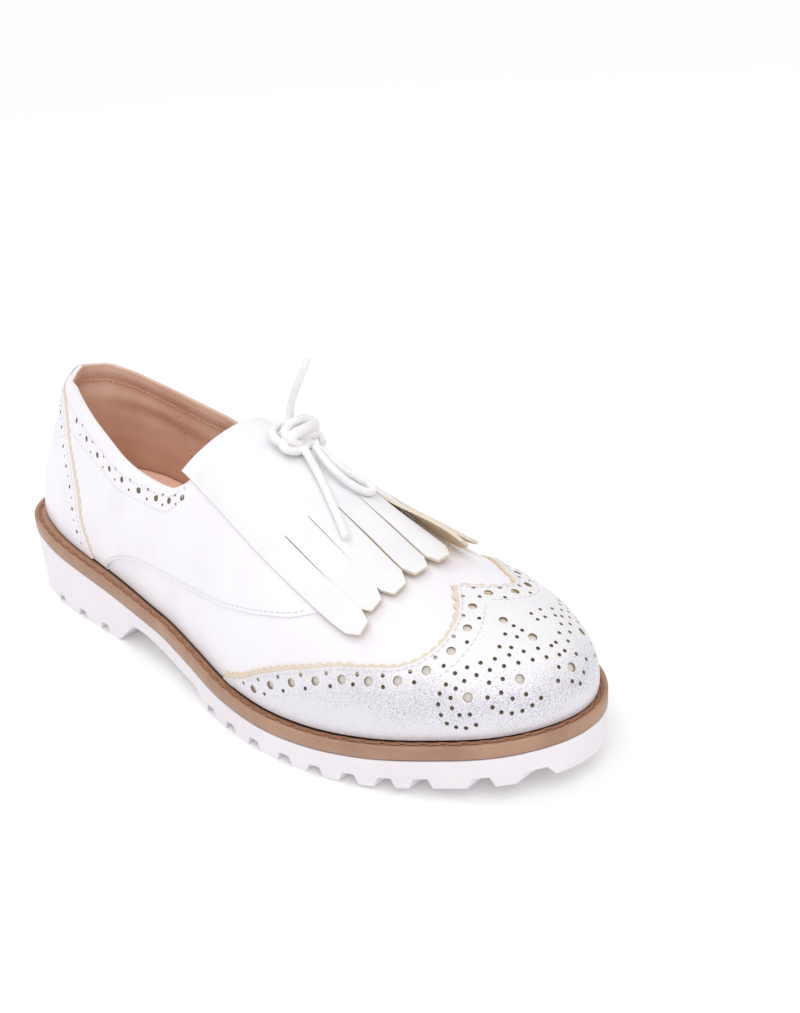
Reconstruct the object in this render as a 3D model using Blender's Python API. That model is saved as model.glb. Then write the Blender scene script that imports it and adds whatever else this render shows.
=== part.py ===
"""Fringed derby shoe for the right foot, standing empty on its sole.

Design unit: millimetres, turned into metres when a mesh is made. A point of the shoe is (x, s, z):
x across the foot, plus on the inner (medial) side; s along the foot from the back of the heel;
z up from the floor. In the world the toe points to -Y.
"""
import bpy
import bmesh
import numpy as np
from mathutils import Vector

MM = 0.001

# Driving sizes
LENGTH = 258.0
WELT_THICK = 4.5
GAP = 0.3              # between neighbours that touch
WALL = 2.0             # upper leather with its lining
INSOLE_THICK = 3.0
OVERLAY = (0.4, 1.5)     # inner and outer face of cap and counter, off the upper
FLAP = (0.6, 1.9)          # inner and outer face of the fringed flap, off the upper
TREAD_INSET = 0.8      # taper of the sole's side wall
LACE = 2.6
END = 0.25             # the outline's last sliver at heel and toe

LATERAL, MEDIAL = -1, 1

# Sole outline: station, centre line, half width
OUTLINE = (
    (0, 0.4, 0.0), (10, 0.4, 21.7), (30, 0.6, 30.6), (50, -0.2, 32.6), (80, -2.9, 31.7),
    (105, -5.5, 31.3), (130, -6.7, 34.5), (155, -5.2, 41.0), (175, -2.2, 45.0), (190, 0.5, 46.0),
    (210, 3.3, 43.3), (230, 5.2, 35.6), (245, 5.9, 25.5), (258, 7.7, 0.0),
)
# Welt standing out beyond the upper: station, width
SHELF = ((0, 6.6), (30, 6.2), (70, 5.1), (110, 4.0), (258, 4.0))
# Underside of the welt: station, height
WELT_RISE = (
    (0, 26.6), (30, 24.3), (60, 21.1), (90, 18.1), (120, 14.8), (150, 11.4), (180, 9.9),
    (210, 11.4), (235, 14.5), (258, 17.1),
)
# Underside of the outsole: station, height; flat heel, slanted breast, waist, flat tread, toe spring
TREAD_RISE = (
    (0, 0.0), (76, 0.0), (84, 5.8), (92, 10.8), (98, 10.7), (108, 8.9), (120, 7.0), (131, 5.9),
    (133.5, 5.5), (135.5, 3.2), (138, 1.2), (140.5, 0.0), (190, 0.0), (210, 1.1), (235, 4.4), (258, 6.7),
)
# Instep ridge and the sections under it: station, ridge x, ridge height, lift of the side wall,
# flatness of the top and bulge of the wall on the lateral and the medial side
RIDGE = (
    (105, 3.0, 84.5, 0.75, 0.40, 0.66, 2.0, 7.0),
    (117, 2.2, 83.0, 0.74, 0.42, 0.62, 2.0, 6.5),
    (130, 1.6, 80.9, 0.69, 0.46, 0.58, 2.2, 5.5),
    (148, 1.0, 76.2, 0.66, 0.52, 0.56, 2.4, 4.0),
    (165, 1.0, 68.2, 0.63, 0.55, 0.56, 2.5, 3.0),
    (180, 2.0, 60.3, 0.62, 0.57, 0.57, 2.5, 2.5),
    (192, 3.5, 54.6, 0.62, 0.60, 0.60, 2.5, 2.5),
    (204, 5.0, 51.0, 0.62, 0.62, 0.62, 2.5, 2.5),
)
APEX = 204.0           # the toe's columns fan out from this station of the ridge
APEX_SLOPE = -0.20
# Collar edge behind the throat: foot station, then station, x and height of the edge above it
COLLAR_BACK = (14.0, 6.2, 82.6)
COLLAR = {
    LATERAL: ((8, 20.0, -1.8, 81.8), (20, 30.3, -7.4, 80.8), (40, 49.7, -15.6, 78.2),
              (65, 69.3, -21.8, 74.4), (85, 86.5, -25.3, 69.8)),
    MEDIAL: ((8, 14.5, 14.6, 81.4), (20, 24.5, 22.0, 79.0), (40, 40.0, 25.6, 75.2),
             (65, 65.5, 26.4, 71.4), (85, 86.0, 24.8, 69.8)),
}
HEEL_BULGE = 0.5
COLLAR_LIFT = 0.36     # share of a collar column's height that its end handles rise
COLLAR_LEAN = 0.42     # share of its inward run that the top handle takes
BLEND_FROM = 70.0      # the collar columns turn into instep sections from here to the throat
# Throat edge under the flap: station, share of the section kept on the lateral and on the medial side
THROAT_KEEP = (
    (105, 0.425, 0.475), (113, 0.455, 0.51), (118, 0.52, 0.565), (123, 0.65, 0.68), (126.5, 0.83, 0.84),
    (128, 1.0, 1.0),
)
THROAT, THROAT_END = THROAT_KEEP[0][0], THROAT_KEEP[-1][0]

# Edges of the overlays seen from the side: station, height
CAP_EDGE = (
    (148, 13.0), (163, 24.0), (173, 29.6), (188, 34.5), (200, 37.2), (209, 37.8), (215, 38.6),
    (219, 40.2), (222, 42.2), (222.5, 44.4), (221, 46.0), (218, 47.6), (213.5, 49.2), (212, 52.0),
)
COUNTER_EDGE = (
    (15, 83.5), (19, 79.0), (26, 76.0), (32, 71.2), (41.5, 63.7), (49, 55.7), (52.8, 47.5), (55, 40.0),
    (58.8, 30.7),
)
OVERLAY_FOOT = 0.6     # bare strip above the welt
# Stations of the overlays' lower edges, and how far along the shoe each one's shell reaches
CAP_FOOT, CAP_SHELL = (LENGTH, 235, 210, 180, 160), (130, LENGTH)
COUNTER_FOOT, COUNTER_SHELL = (60, 30, 0), (0, 85)
CUTTER_REACH = 90.0    # of a cutter, past the shoe

# Fringed flap: its top edge, where the slits start, and each strip's tip from lateral to medial
FLAP_TOP = 121.0
FLAP_TOP_BOW = 6.0     # how far the top edge runs back at its two ends
FLAP_SLIT = 165.0
FLAP_SHARE = {LATERAL: 0.465, MEDIAL: 0.50}    # share of the section down from the ridge
FLAP_WIDTH = 60.0
STRIP_TIPS = (199.0, 199.5, 199.0, 198.5, 199.5, 200.0, 198.0)
SLIT = 0.9
TIP_CLIP = 4.0         # length of the clipped corners

# Lugs: grooves across the tread, and channels along it as shares of the half width
HEEL_GROOVES = (17.0, 35.5, 52.0, 68.0)
TREAD_GROOVES = (143.5, 156.0, 168.5, 182.0, 193.5, 205.0, 216.0, 226.0, 241.0, 251.5)
GROOVE_MOUTH, GROOVE_FLOOR, GROOVE_DEPTH = 3.0, 1.8, 3.2
ACROSS = ((-1.0, 0), (-0.62, 0), (-0.56, 1), (-0.42, 1), (-0.36, 0),
          (0.36, 0), (0.42, 1), (0.56, 1), (0.62, 0), (1.0, 0))     # share, 1 in a channel
CHANNELS = ((12.0, 70.0), (139.0, 240.0))
BREAST_STATIONS = (76.0, 80.0, 84.0, 88.0, 92.0, 95.0, 98.0, 104.0, 110.0, 116.0, 122.0, 127.0, 131.0, 133.5,
                   135.5, 138.0)
GROOVE_CLEAR = 1.2     # plain stations keep this far from a groove's mouth
TAPER_MOST = 0.6       # share of the half width that the taper leaves at heel and toe

# Knot on the flap: its place and its half sizes
KNOT = (5.0, 143.5)
KNOT_SIZE = (10.0, 8.0, 4.6)
# Lace routes: x, s, lift off the flap
LACE_ROUTES = {
    "lace_end_up": ((5.0, 144.0, 8.5), (5.4, 145.4, 14.6), (6.7, 147.2, 23.4), (8.6, 147.7, 29.8)),
    "lace_end_down": ((1.2, 150.5, 1.9), (-1.4, 158.8, 0.5), (-5.4, 168.4, 0.0), (-8.2, 174.7, 0.0),
                      (-10.9, 180.2, 0.0)),
    "lace_loop": ((5.2, 151.5, 2.1), (3.0, 158.6, 2.0), (2.2, 164.4, 1.6), (3.4, 169.4, 0.9),
                  (5.6, 173.0, 0.3), (8.2, 173.9, 0.0), (10.0, 171.7, 0.0), (9.4, 168.0, 0.0),
                  (8.0, 163.4, 0.0), (7.6, 158.0, 0.2), (9.0, 150.9, 0.8)),
}

# Fineness of the meshes: columns round the shoe, rows of a column, rows of the flap
UPPER_COLUMNS, WELT_COLUMNS, INSOLE_COLUMNS, TREAD_COLUMNS = 36, 44, 36, 40
UPPER_ROWS = 13
FLAP_BODY_ROWS, FLAP_STRIP_ROWS = 8, 6
THROAT_STATIONS = (113.0, 118.0, 122.0, 125.0, 127.0)
STATIONS_APART = 1.5
KNOT_SEGMENTS = (14, 8)
LACE_STEP = 0.8 * LACE
CREASE_ANGLE = 40.0    # edges sharper than this are shaded as edges

# Colours: red, green, blue; roughness
FINISH = {
    "outsole": ((0.86, 0.83, 0.85), 0.55),
    "welt": ((0.36, 0.20, 0.12), 0.55),
    "insole": ((0.80, 0.45, 0.32), 0.6),
    "upper": ((0.88, 0.87, 0.90), 0.4),
    "toe_cap": ((0.82, 0.82, 0.86), 0.3),
    "heel_counter": ((0.85, 0.84, 0.88), 0.35),
    "fringe_flap": ((0.90, 0.90, 0.91), 0.4),
    "lace": ((0.88, 0.88, 0.89), 0.6),
}


# Curves through tables
def curve(stations, values, flat_at_turns=False):
    """A smooth function through a table; flat_at_turns keeps it from overshooting."""
    xs = np.asarray(stations, float)
    ys = np.asarray(values, float)
    step = np.diff(xs)
    rise = np.diff(ys) / step
    slope = np.zeros_like(ys)
    slope[1:-1] = (rise[:-1] * step[1:] + rise[1:] * step[:-1]) / (step[:-1] + step[1:])
    slope[0] = 1.5 * rise[0] - 0.5 * slope[1]
    slope[-1] = 1.5 * rise[-1] - 0.5 * slope[-2]
    if flat_at_turns:
        for i in range(1, len(xs) - 1):
            steepest = 3 * min(abs(rise[i - 1]), abs(rise[i]))
            turning = rise[i - 1] * rise[i] <= 0
            slope[i] = 0 if turning else np.sign(rise[i]) * min(abs(slope[i]), steepest)
        slope[0], slope[-1] = rise[0], rise[-1]

    def value(x):
        x = np.clip(np.asarray(x, float), xs[0], xs[-1])
        i = np.clip(np.searchsorted(xs, x) - 1, 0, len(step) - 1)
        t = (x - xs[i]) / step[i]
        return ((1 + 2 * t) * (1 - t) ** 2 * ys[i] + t * (1 - t) ** 2 * step[i] * slope[i]
                + t * t * (3 - 2 * t) * ys[i + 1] + t * t * (t - 1) * step[i] * slope[i + 1])
    return value


def table_curve(rows, column, **kind):
    table = np.array(rows, float)
    return curve(table[:, 0], table[:, column], **kind)


centre_line = table_curve(OUTLINE, 1)
half_width_squared = curve([row[0] for row in OUTLINE], [row[2] ** 2 for row in OUTLINE], flat_at_turns=True)
shelf = table_curve(SHELF, 1, flat_at_turns=True)
welt_under = table_curve(WELT_RISE, 1)
tread = table_curve(TREAD_RISE, 1, flat_at_turns=True)
ridge_x, ridge_z, wall_lift = (table_curve(RIDGE, column) for column in (1, 2, 3))
top_flatness = {LATERAL: table_curve(RIDGE, 4), MEDIAL: table_curve(RIDGE, 5)}
wall_bulge = {LATERAL: table_curve(RIDGE, 6), MEDIAL: table_curve(RIDGE, 7)}
throat_keep = {LATERAL: table_curve(THROAT_KEEP, 1, flat_at_turns=True),
               MEDIAL: table_curve(THROAT_KEEP, 2, flat_at_turns=True)}


# The sole's outline and the feather line, where the upper meets the welt
def half_width(s):
    return np.sqrt(np.maximum(half_width_squared(s), 0))


def outline_side(side, inset, count=400):
    """One side of the outline from heel to toe, moved inwards by inset at each station: rows of x, s."""
    turn = np.linspace(0, np.pi, count)
    s = LENGTH * (1 - np.cos(turn)) / 2
    edge = np.stack([centre_line(s) + side * half_width(s), s], 1)
    along = np.gradient(edge, axis=0)
    along[0], along[-1] = (side, 0), (-side, 0)
    along /= np.linalg.norm(along, axis=1)[:, None]
    outward = np.stack([side * along[:, 1], -side * along[:, 0]], 1)
    return edge - inset(s)[:, None] * outward, outward


def no_inset(s):
    return 0 * s


FEATHER = {side: outline_side(side, shelf) for side in (LATERAL, MEDIAL)}
FEATHER_BACK = float(shelf(0))
FEATHER_FRONT = LENGTH - float(shelf(LENGTH))
MIDDLE = 0.5 * (min(outline_side(LATERAL, no_inset)[0][:, 0]) + max(outline_side(MEDIAL, no_inset)[0][:, 0]))


def feather_height(s):
    return float(welt_under(s)) + WELT_THICK + GAP


def feather_point(side, s):
    """A point of the feather line and the way out of the shoe there."""
    edge, outward = FEATHER[side]
    x = np.interp(s, edge[:, 1], edge[:, 0])
    out = np.array([np.interp(s, edge[:, 1], outward[:, axis]) for axis in (0, 1)])
    out /= np.linalg.norm(out)
    return np.array([x, s, feather_height(s)]), np.array([out[0], out[1], 0.0])


def feather_run(side, s):
    """Distance along the feather line from the back of the heel."""
    edge = FEATHER[side][0]
    run = np.concatenate([[0], np.cumsum(np.linalg.norm(np.diff(edge, axis=0), axis=1))])
    return np.interp(s, edge[:, 1], run)


# The upper's own function: a column is four handles of a smooth curve from the feather line up
def section(side, s):
    """The whole section over the instep at a station, from the feather line to the ridge."""
    foot = feather_point(side, s)[0]
    top = np.array([float(ridge_x(s)), s, float(ridge_z(s))])
    up = np.array([side * float(wall_bulge[side](s)), 0, float(wall_lift(s)) * (top[2] - foot[2])])
    reach = np.array([float(top_flatness[side](s)) * (foot[0] - top[0]), 0, 0])
    return np.array([foot, foot + up, top + reach, top])


def lower_share(handles, share):
    """The lower share of a column, as a column of its own."""
    a, b, c = (handles[i] + (handles[i + 1] - handles[i]) * share for i in range(3))
    d = a + (b - a) * share
    e = b + (c - b) * share
    return np.array([handles[0], a, d, d + (e - d) * share])


def toe_column(side, s):
    """A column of the toe, running up to the apex of the ridge."""
    foot, out = feather_point(side, s)
    top = np.array([float(ridge_x(APEX)), APEX, float(ridge_z(APEX))])
    run = top[:2] - foot[:2]
    up = out * float(wall_bulge[side](APEX))
    up[2] = float(wall_lift(APEX)) * (top[2] - foot[2])
    reach = float(top_flatness[side](APEX)) * np.array([run[0], run[1], APEX_SLOPE * run[1]])
    return np.array([foot, foot + up, top - reach, top])


def collar_curves():
    """Station, x and height of the collar edge over the run of the feather line, minus on the lateral side."""
    runs, edges = [0.0], [COLLAR_BACK]
    for side in (LATERAL, MEDIAL):
        throat = lower_share(section(side, THROAT), float(throat_keep[side](THROAT)))[3]
        rows = [(foot, (s, x, z)) for foot, s, x, z in COLLAR[side]]
        rows.append((THROAT, (throat[1], throat[0], throat[2])))
        for foot, edge in rows:
            runs.append(side * feather_run(side, foot))
            edges.append(edge)
    order = np.argsort(runs)
    runs = np.array(runs)[order]
    edges = np.array(edges)[order]
    return [curve(runs, edges[:, axis]) for axis in range(3)]


collar_s, collar_x, collar_z = collar_curves()


def collar_column(side, s):
    """A column of the heel and quarters, running up to the collar edge."""
    foot, out = feather_point(side, s)
    run = side * feather_run(side, s)
    top = np.array([float(collar_x(run)), float(collar_s(run)), float(collar_z(run))])
    across = top - foot
    up = out * HEEL_BULGE
    up[2] = COLLAR_LIFT * across[2]
    fall = np.array([COLLAR_LEAN * across[0], COLLAR_LEAN * across[1], COLLAR_LIFT * across[2]])
    throat = lower_share(section(side, THROAT), float(throat_keep[side](THROAT)))
    share = np.clip((s - BLEND_FROM) / (THROAT - BLEND_FROM), 0, 1)
    share = share * share * (3 - 2 * share)
    up = (1 - share) * up + share * (throat[1] - throat[0])
    fall = (1 - share) * fall + share * (throat[3] - throat[2])
    return np.array([foot, foot + up, top - fall, top])


def upper_column(side, s):
    if s < THROAT:
        return collar_column(side, s)
    if s < THROAT_END:
        return lower_share(section(side, s), float(throat_keep[side](s)))
    if s <= APEX:
        return section(side, s)
    return toe_column(side, s)


def along_column(handles, share):
    a, b = 1 - share, share
    return a ** 3 * handles[0] + 3 * a * a * b * handles[1] + 3 * a * b * b * handles[2] + b ** 3 * handles[3]


# The top of the instep as a height over the floor, for what lies on it
INSTEP_SHARES = np.linspace(1, 0.45, 23)    # places on a section, from the ridge down


def instep_height(x, s):
    side = LATERAL if x < float(ridge_x(s)) else MEDIAL
    handles = section(side, s)
    points = np.array([along_column(handles, share) for share in INSTEP_SHARES])
    return float(np.interp(side * x, side * points[:, 0], points[:, 2]))


def instep_slopes(x, s, reach=2.0):
    across = (instep_height(x + reach, s) - instep_height(x - reach, s)) / (2 * reach)
    along = (instep_height(x, s + reach) - instep_height(x, s - reach)) / (2 * reach)
    return across, along


def height_on_flap(x, s, clear):
    """Height over the floor of a point that stands clear of the flap's outer face, square to it."""
    across, along = instep_slopes(x, s)
    return instep_height(x, s) + (FLAP[1] + clear) * np.sqrt(1 + across ** 2 + along ** 2)


# Meshes
def world(point):
    return ((point[0] - MIDDLE) * MM, (LENGTH / 2 - point[1]) * MM, point[2] * MM)


def add_face(bm, corners):
    """A face through its distinct corners, if there are three of them."""
    distinct = [v for i, v in enumerate(corners) if v not in corners[:i]]
    if len(distinct) > 2:
        bm.faces.new(distinct)


def add_grid(bm, grid, loop=False):
    rows = list(zip(grid, grid[1:] + grid[:1])) if loop else list(zip(grid, grid[1:]))
    for here, there in rows:
        for k in range(len(here) - 1):
            add_face(bm, (here[k], there[k], there[k + 1], here[k + 1]))


def finish_object(name, bm, finish):
    bm.normal_update()
    bmesh.ops.recalc_face_normals(bm, faces=bm.faces)
    mesh = bpy.data.meshes.new(name)
    bm.to_mesh(mesh)
    bm.free()
    mesh.shade_smooth()
    mesh.set_sharp_from_angle(angle=np.radians(CREASE_ANGLE))
    return place_object(name, mesh, finish)


def place_object(name, data, finish):
    colour, roughness = FINISH[finish]
    material = bpy.data.materials.new(name)
    material.use_nodes = True
    shader = material.node_tree.nodes["Principled BSDF"]
    shader.inputs["Base Color"].default_value = (*colour, 1)
    shader.inputs["Roughness"].default_value = roughness
    data.materials.append(material)
    obj = bpy.data.objects.new(name, data)
    bpy.context.scene.collection.objects.link(obj)
    return obj


def thicken(name, sheet, inner, outer, finish, keep=lambda face: True):
    """A closed solid between two offsets of the kept faces of a sheet that points out of the shoe."""
    sheet.normal_update()
    faces = [face for face in sheet.faces if keep(face)]
    bm = bmesh.new()
    low, high = {}, {}
    for v in {v for face in faces for v in face.verts}:
        low[v] = bm.verts.new(v.co + v.normal * inner * MM)
        high[v] = bm.verts.new(v.co + v.normal * outer * MM)
    uses = {}
    for face in faces:
        bm.faces.new([high[v] for v in face.verts])
        bm.faces.new([low[v] for v in reversed(face.verts)])
        for edge in face.edges:
            uses[edge] = uses.get(edge, 0) + 1
    for edge in (edge for edge, count in uses.items() if count == 1):
        a, b = edge.verts
        bm.faces.new((low[a], low[b], high[b], high[a]))
    sheet.free()
    return finish_object(name, bm, finish)


def orient_outwards(bm, inside):
    """Turn a sheet's faces so that they look away from a point inside the shoe."""
    bm.normal_update()
    bmesh.ops.recalc_face_normals(bm, faces=bm.faces)
    bm.normal_update()
    votes = sum((face.calc_center_median() - inside).dot(face.normal) * face.calc_area() for face in bm.faces)
    if votes < 0:
        bmesh.ops.reverse_faces(bm, faces=bm.faces)


def spaced_stations(first, last, count, extra=()):
    """Stations that crowd towards both ends, with a few more of their own."""
    turn = np.linspace(0, np.pi, count)
    plain = first + (last - first) * (1 - np.cos(turn)) / 2
    kept = [s for s in plain if all(abs(s - e) > STATIONS_APART for e in extra)]
    return sorted(set(kept) | set(extra))


# Upper, cap and counter
UPPER_STATIONS = spaced_stations(FEATHER_BACK, FEATHER_FRONT, UPPER_COLUMNS,
                                 (THROAT, *THROAT_STATIONS, THROAT_END, APEX))
INSIDE = (0.0, 0.0, 0.035)    # in metres


def both_sides(stations):
    """Columns from the last station of the lateral side round the heel or toe to that of the medial side."""
    return [(LATERAL, s) for s in reversed(stations)] + [(MEDIAL, s) for s in stations[1:]]


def upper_sheet():
    bm = bmesh.new()
    shares = np.linspace(0, 1, UPPER_ROWS)
    loop = both_sides(UPPER_STATIONS)[:-1]
    tops = {}
    grid = []
    for side, s in loop:
        handles = upper_column(side, s)
        column = [bm.verts.new(world(along_column(handles, share))) for share in shares[:-1]]
        meeting = min(s, APEX) if s >= THROAT_END else (side, s)
        if meeting not in tops:
            tops[meeting] = bm.verts.new(world(handles[3]))
        grid.append(column + [tops[meeting]])
    add_grid(bm, grid, loop=True)
    orient_outwards(bm, Vector(INSIDE))
    return bm


def make_upper():
    sheet = upper_sheet()
    thicken("upper", sheet, -WALL, 0.0, "upper")


def side_cutter(name, outline):
    """A bar across the shoe whose outline is given from the side: station, height."""
    bm = bmesh.new()
    ends = [[bm.verts.new(world((side * CUTTER_REACH, s, z))) for s, z in outline] for side in (LATERAL, MEDIAL)]
    for k in range(len(outline)):
        n = (k + 1) % len(outline)
        bm.faces.new((ends[0][k], ends[0][n], ends[1][n], ends[1][k]))
    for end in ends:
        bm.faces.new(end)
    cutter = finish_object(name, bm, "upper")
    cutter.hide_render = True
    cutter.display_type = "WIRE"
    return cutter


def make_overlay(name, first, last, outline):
    """An overlay cut out of a larger shell on the upper's own surface between two stations."""
    low, high = sorted(LENGTH / 2 * MM - s * MM for s in (first, last))
    shell = thicken(name, upper_sheet(), *OVERLAY, name,
                    keep=lambda face: low < face.calc_center_median().y < high)
    cut = shell.modifiers.new("outline", "BOOLEAN")
    cut.operation = "INTERSECT"
    cut.solver = "EXACT"
    cut.object = side_cutter(name + "_cutter", outline)


def make_toe_cap():
    front = LENGTH + CUTTER_REACH
    foot = [(s, feather_height(s) + OVERLAY_FOOT) for s in CAP_FOOT]
    outline = [*CAP_EDGE, (CAP_EDGE[-1][0], CUTTER_REACH), (front, CUTTER_REACH), (front, foot[0][1]), *foot]
    make_overlay("toe_cap", *CAP_SHELL, outline)


def make_heel_counter():
    foot = [(s, feather_height(s) + OVERLAY_FOOT) for s in COUNTER_FOOT]
    outline = [*COUNTER_EDGE, *foot, (-CUTTER_REACH, foot[-1][1]), (-CUTTER_REACH, COUNTER_EDGE[0][1])]
    make_overlay("heel_counter", *COUNTER_SHELL, outline)


# Fringed flap
def flap_point(s, across):
    """A point of the instep under the flap; across runs from -1 at its lateral to 1 at its medial edge."""
    side = LATERAL if across < 0 else MEDIAL
    handles = section(side, s) if s <= APEX else toe_column(side, s)
    return along_column(handles, 1 - abs(across) * FLAP_SHARE[side])


def make_fringe_flap():
    strips = len(STRIP_TIPS)
    width = 2.0 / strips
    slit = SLIT / FLAP_WIDTH
    bm = bmesh.new()
    body_rows = np.linspace(0, 1, FLAP_BODY_ROWS)
    strip_rows = np.linspace(0, 1, FLAP_STRIP_ROWS)[1:]
    columns = []
    for k, tip in enumerate(STRIP_TIPS):
        left = -1 + k * width + (slit if k else 0)
        right = -1 + (k + 1) * width - (slit if k < strips - 1 else 0)
        for across, clip in ((left, TIP_CLIP), (0.5 * (left + right), 0.0), (right, TIP_CLIP)):
            top = FLAP_TOP - FLAP_TOP_BOW * across ** 2
            body = [top + (FLAP_SLIT - top) * share for share in body_rows]
            strip = [FLAP_SLIT + (tip - clip - FLAP_SLIT) * share for share in strip_rows]
            columns.append([bm.verts.new(world(flap_point(s, across))) for s in body + strip])
    rows = len(body_rows)
    add_grid(bm, [column[:rows] for column in columns])
    for k in range(strips):
        add_grid(bm, [column[rows - 1:] for column in columns[3 * k:3 * k + 3]])
    orient_outwards(bm, Vector(INSIDE))
    thicken("fringe_flap", bm, *FLAP, "fringe_flap")


# Sole, welt and insole
def make_plate(name, stations, inset, under, over):
    """A plate that follows the outline, between two heights over the floor."""
    bm = bmesh.new()
    loop = [(LATERAL, s) for s in stations] + [(MEDIAL, s) for s in reversed(stations)]
    low, high = [], []
    edges = {side: outline_side(side, inset)[0] for side in (LATERAL, MEDIAL)}
    for side, s in loop:
        edge = edges[side]
        x = np.interp(s, edge[:, 1], edge[:, 0])
        low.append(bm.verts.new(world((x, s, under(s)))))
        high.append(bm.verts.new(world((x, s, over(s)))))
    count = len(stations)
    for k in range(2 * count):
        n = (k + 1) % (2 * count)
        bm.faces.new((low[k], low[n], high[n], high[k]))
    for k in range(count - 1):
        m = 2 * count - 1 - k
        bm.faces.new((low[k], low[k + 1], low[m - 1], low[m]))
        bm.faces.new((high[k], high[m], high[m - 1], high[k + 1]))
    finish_object(name, bm, name)


def make_welt():
    stations = spaced_stations(END, LENGTH - END, WELT_COLUMNS)
    make_plate("welt", stations, no_inset, lambda s: float(welt_under(s)),
               lambda s: float(welt_under(s)) + WELT_THICK)


def insole_inset(s):
    return shelf(s) + WALL + 2 * GAP


def make_insole():
    stations = spaced_stations(insole_inset(0) + END, LENGTH - insole_inset(LENGTH) - END, INSOLE_COLUMNS)
    make_plate("insole", stations, insole_inset, feather_height,
               lambda s: feather_height(s) + INSOLE_THICK)


def groove_stations():
    """Stations of the tread: station, 1 on a groove's floor."""
    grooves = HEEL_GROOVES + TREAD_GROOVES
    marks = {}
    for g in grooves:
        for offset, floor in ((-GROOVE_MOUTH, 0), (-GROOVE_FLOOR, 1), (GROOVE_FLOOR, 1), (GROOVE_MOUTH, 0)):
            marks[g + offset] = floor
    plain = spaced_stations(END, LENGTH - END, TREAD_COLUMNS, BREAST_STATIONS)
    for s in plain:
        if all(abs(s - g) > GROOVE_MOUTH + GROOVE_CLEAR for g in grooves):
            marks[s] = 0
    return sorted(marks.items())


def tread_recess(s, groove, channel):
    in_channel = any(first < s < last for first, last in CHANNELS) and channel
    return GROOVE_DEPTH if groove or in_channel else 0.0


def make_outsole():
    bm = bmesh.new()
    under, over = [], []
    for s, groove in groove_stations():
        w = float(half_width(s))
        c = float(centre_line(s))
        taper = max(w - TREAD_INSET, TAPER_MOST * w)
        row = []
        for share, channel in ACROSS:
            z = float(tread(s)) + tread_recess(s, groove, channel)
            row.append(bm.verts.new(world((c + share * taper, s, z))))
        under.append(row)
        z = float(welt_under(s)) - GAP
        over.append([bm.verts.new(world((c + side * w, s, z))) for side in (LATERAL, MEDIAL)])
    add_grid(bm, under)
    add_grid(bm, over)
    for k in range(len(under) - 1):
        for end, side in ((0, 0), (-1, 1)):
            bm.faces.new((under[k][end], under[k + 1][end], over[k + 1][side], over[k][side]))
    for k in (0, -1):
        bm.faces.new([*under[k], over[k][1], over[k][0]])
    finish_object("outsole", bm, "outsole")


# Lace
def smooth_route(points, spacing):
    """Evenly spaced points on a smooth curve through the route's own points."""
    route = np.array(points, float)
    run = np.concatenate([[0], np.cumsum(np.linalg.norm(np.diff(route, axis=0), axis=1))])
    count = max(4, int(run[-1] / spacing) + 1)
    at = np.linspace(0, run[-1], count)
    return np.stack([curve(run, route[:, axis])(at) for axis in range(3)], 1)


def make_lace_cord(name, points):
    data = bpy.data.curves.new(name, "CURVE")
    data.dimensions = "3D"
    data.bevel_depth = LACE / 2 * MM
    data.bevel_resolution = 2
    data.use_fill_caps = True
    places = [(x, s, height_on_flap(x, s, GAP + LACE / 2) + lift) for x, s, lift in points]
    route = smooth_route(places, LACE_STEP)
    spline = data.splines.new("POLY")
    spline.points.add(len(route) - 1)
    for point, place in zip(spline.points, route):
        point.co = (*world(place), 1)
    place_object(name, data, "lace")


def make_knot():
    bm = bmesh.new()
    bmesh.ops.create_uvsphere(bm, u_segments=KNOT_SEGMENTS[0], v_segments=KNOT_SEGMENTS[1], radius=1.0)
    floor = height_on_flap(*KNOT, GAP)
    across, along = instep_slopes(*KNOT)
    for v in bm.verts:
        dx, ds = KNOT_SIZE[0] * v.co.x, KNOT_SIZE[1] * v.co.y
        lean = across * dx + along * ds
        v.co = world((KNOT[0] + dx, KNOT[1] + ds, floor + lean + KNOT_SIZE[2] * (1 + v.co.z)))
    finish_object("lace_knot", bm, "lace")


def main():
    for obj in list(bpy.data.objects):
        bpy.data.objects.remove(obj, do_unlink=True)
    make_outsole()
    make_welt()
    make_insole()
    make_upper()
    make_toe_cap()
    make_heel_counter()
    make_fringe_flap()
    make_knot()
    for name, points in LACE_ROUTES.items():
        make_lace_cord(name, points)


main()
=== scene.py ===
"""Looks of the fringed derby shoe for the right foot: leather, cut edges, stitching, holes, flap, lace, sole.

Design unit: millimetres, turned into metres when a mesh is made. A point of the shoe is (x, s, z):
x across the foot, plus on the inner (medial) side; s along the foot from the back of the heel;
z up from the floor. In the world the toe points to -Y.
"""

import bmesh
import bpy
import numpy as np
from mathutils import Matrix, Vector
from mathutils.geometry import delaunay_2d_cdt

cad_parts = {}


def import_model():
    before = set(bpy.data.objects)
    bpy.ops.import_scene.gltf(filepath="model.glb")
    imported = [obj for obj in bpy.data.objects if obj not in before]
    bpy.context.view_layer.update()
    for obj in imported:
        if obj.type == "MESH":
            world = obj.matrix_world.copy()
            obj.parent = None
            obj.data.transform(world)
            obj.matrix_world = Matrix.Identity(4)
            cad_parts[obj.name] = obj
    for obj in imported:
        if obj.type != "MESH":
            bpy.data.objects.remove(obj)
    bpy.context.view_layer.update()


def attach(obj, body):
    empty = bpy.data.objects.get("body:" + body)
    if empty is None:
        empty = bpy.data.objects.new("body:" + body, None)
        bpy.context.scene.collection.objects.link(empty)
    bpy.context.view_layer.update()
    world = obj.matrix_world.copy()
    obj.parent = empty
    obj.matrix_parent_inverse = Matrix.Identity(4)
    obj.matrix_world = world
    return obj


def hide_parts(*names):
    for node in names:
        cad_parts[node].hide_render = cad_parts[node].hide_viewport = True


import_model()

MM = 0.001
LATERAL, MEDIAL = -1, 1
SIDES = (LATERAL, MEDIAL)
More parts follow.
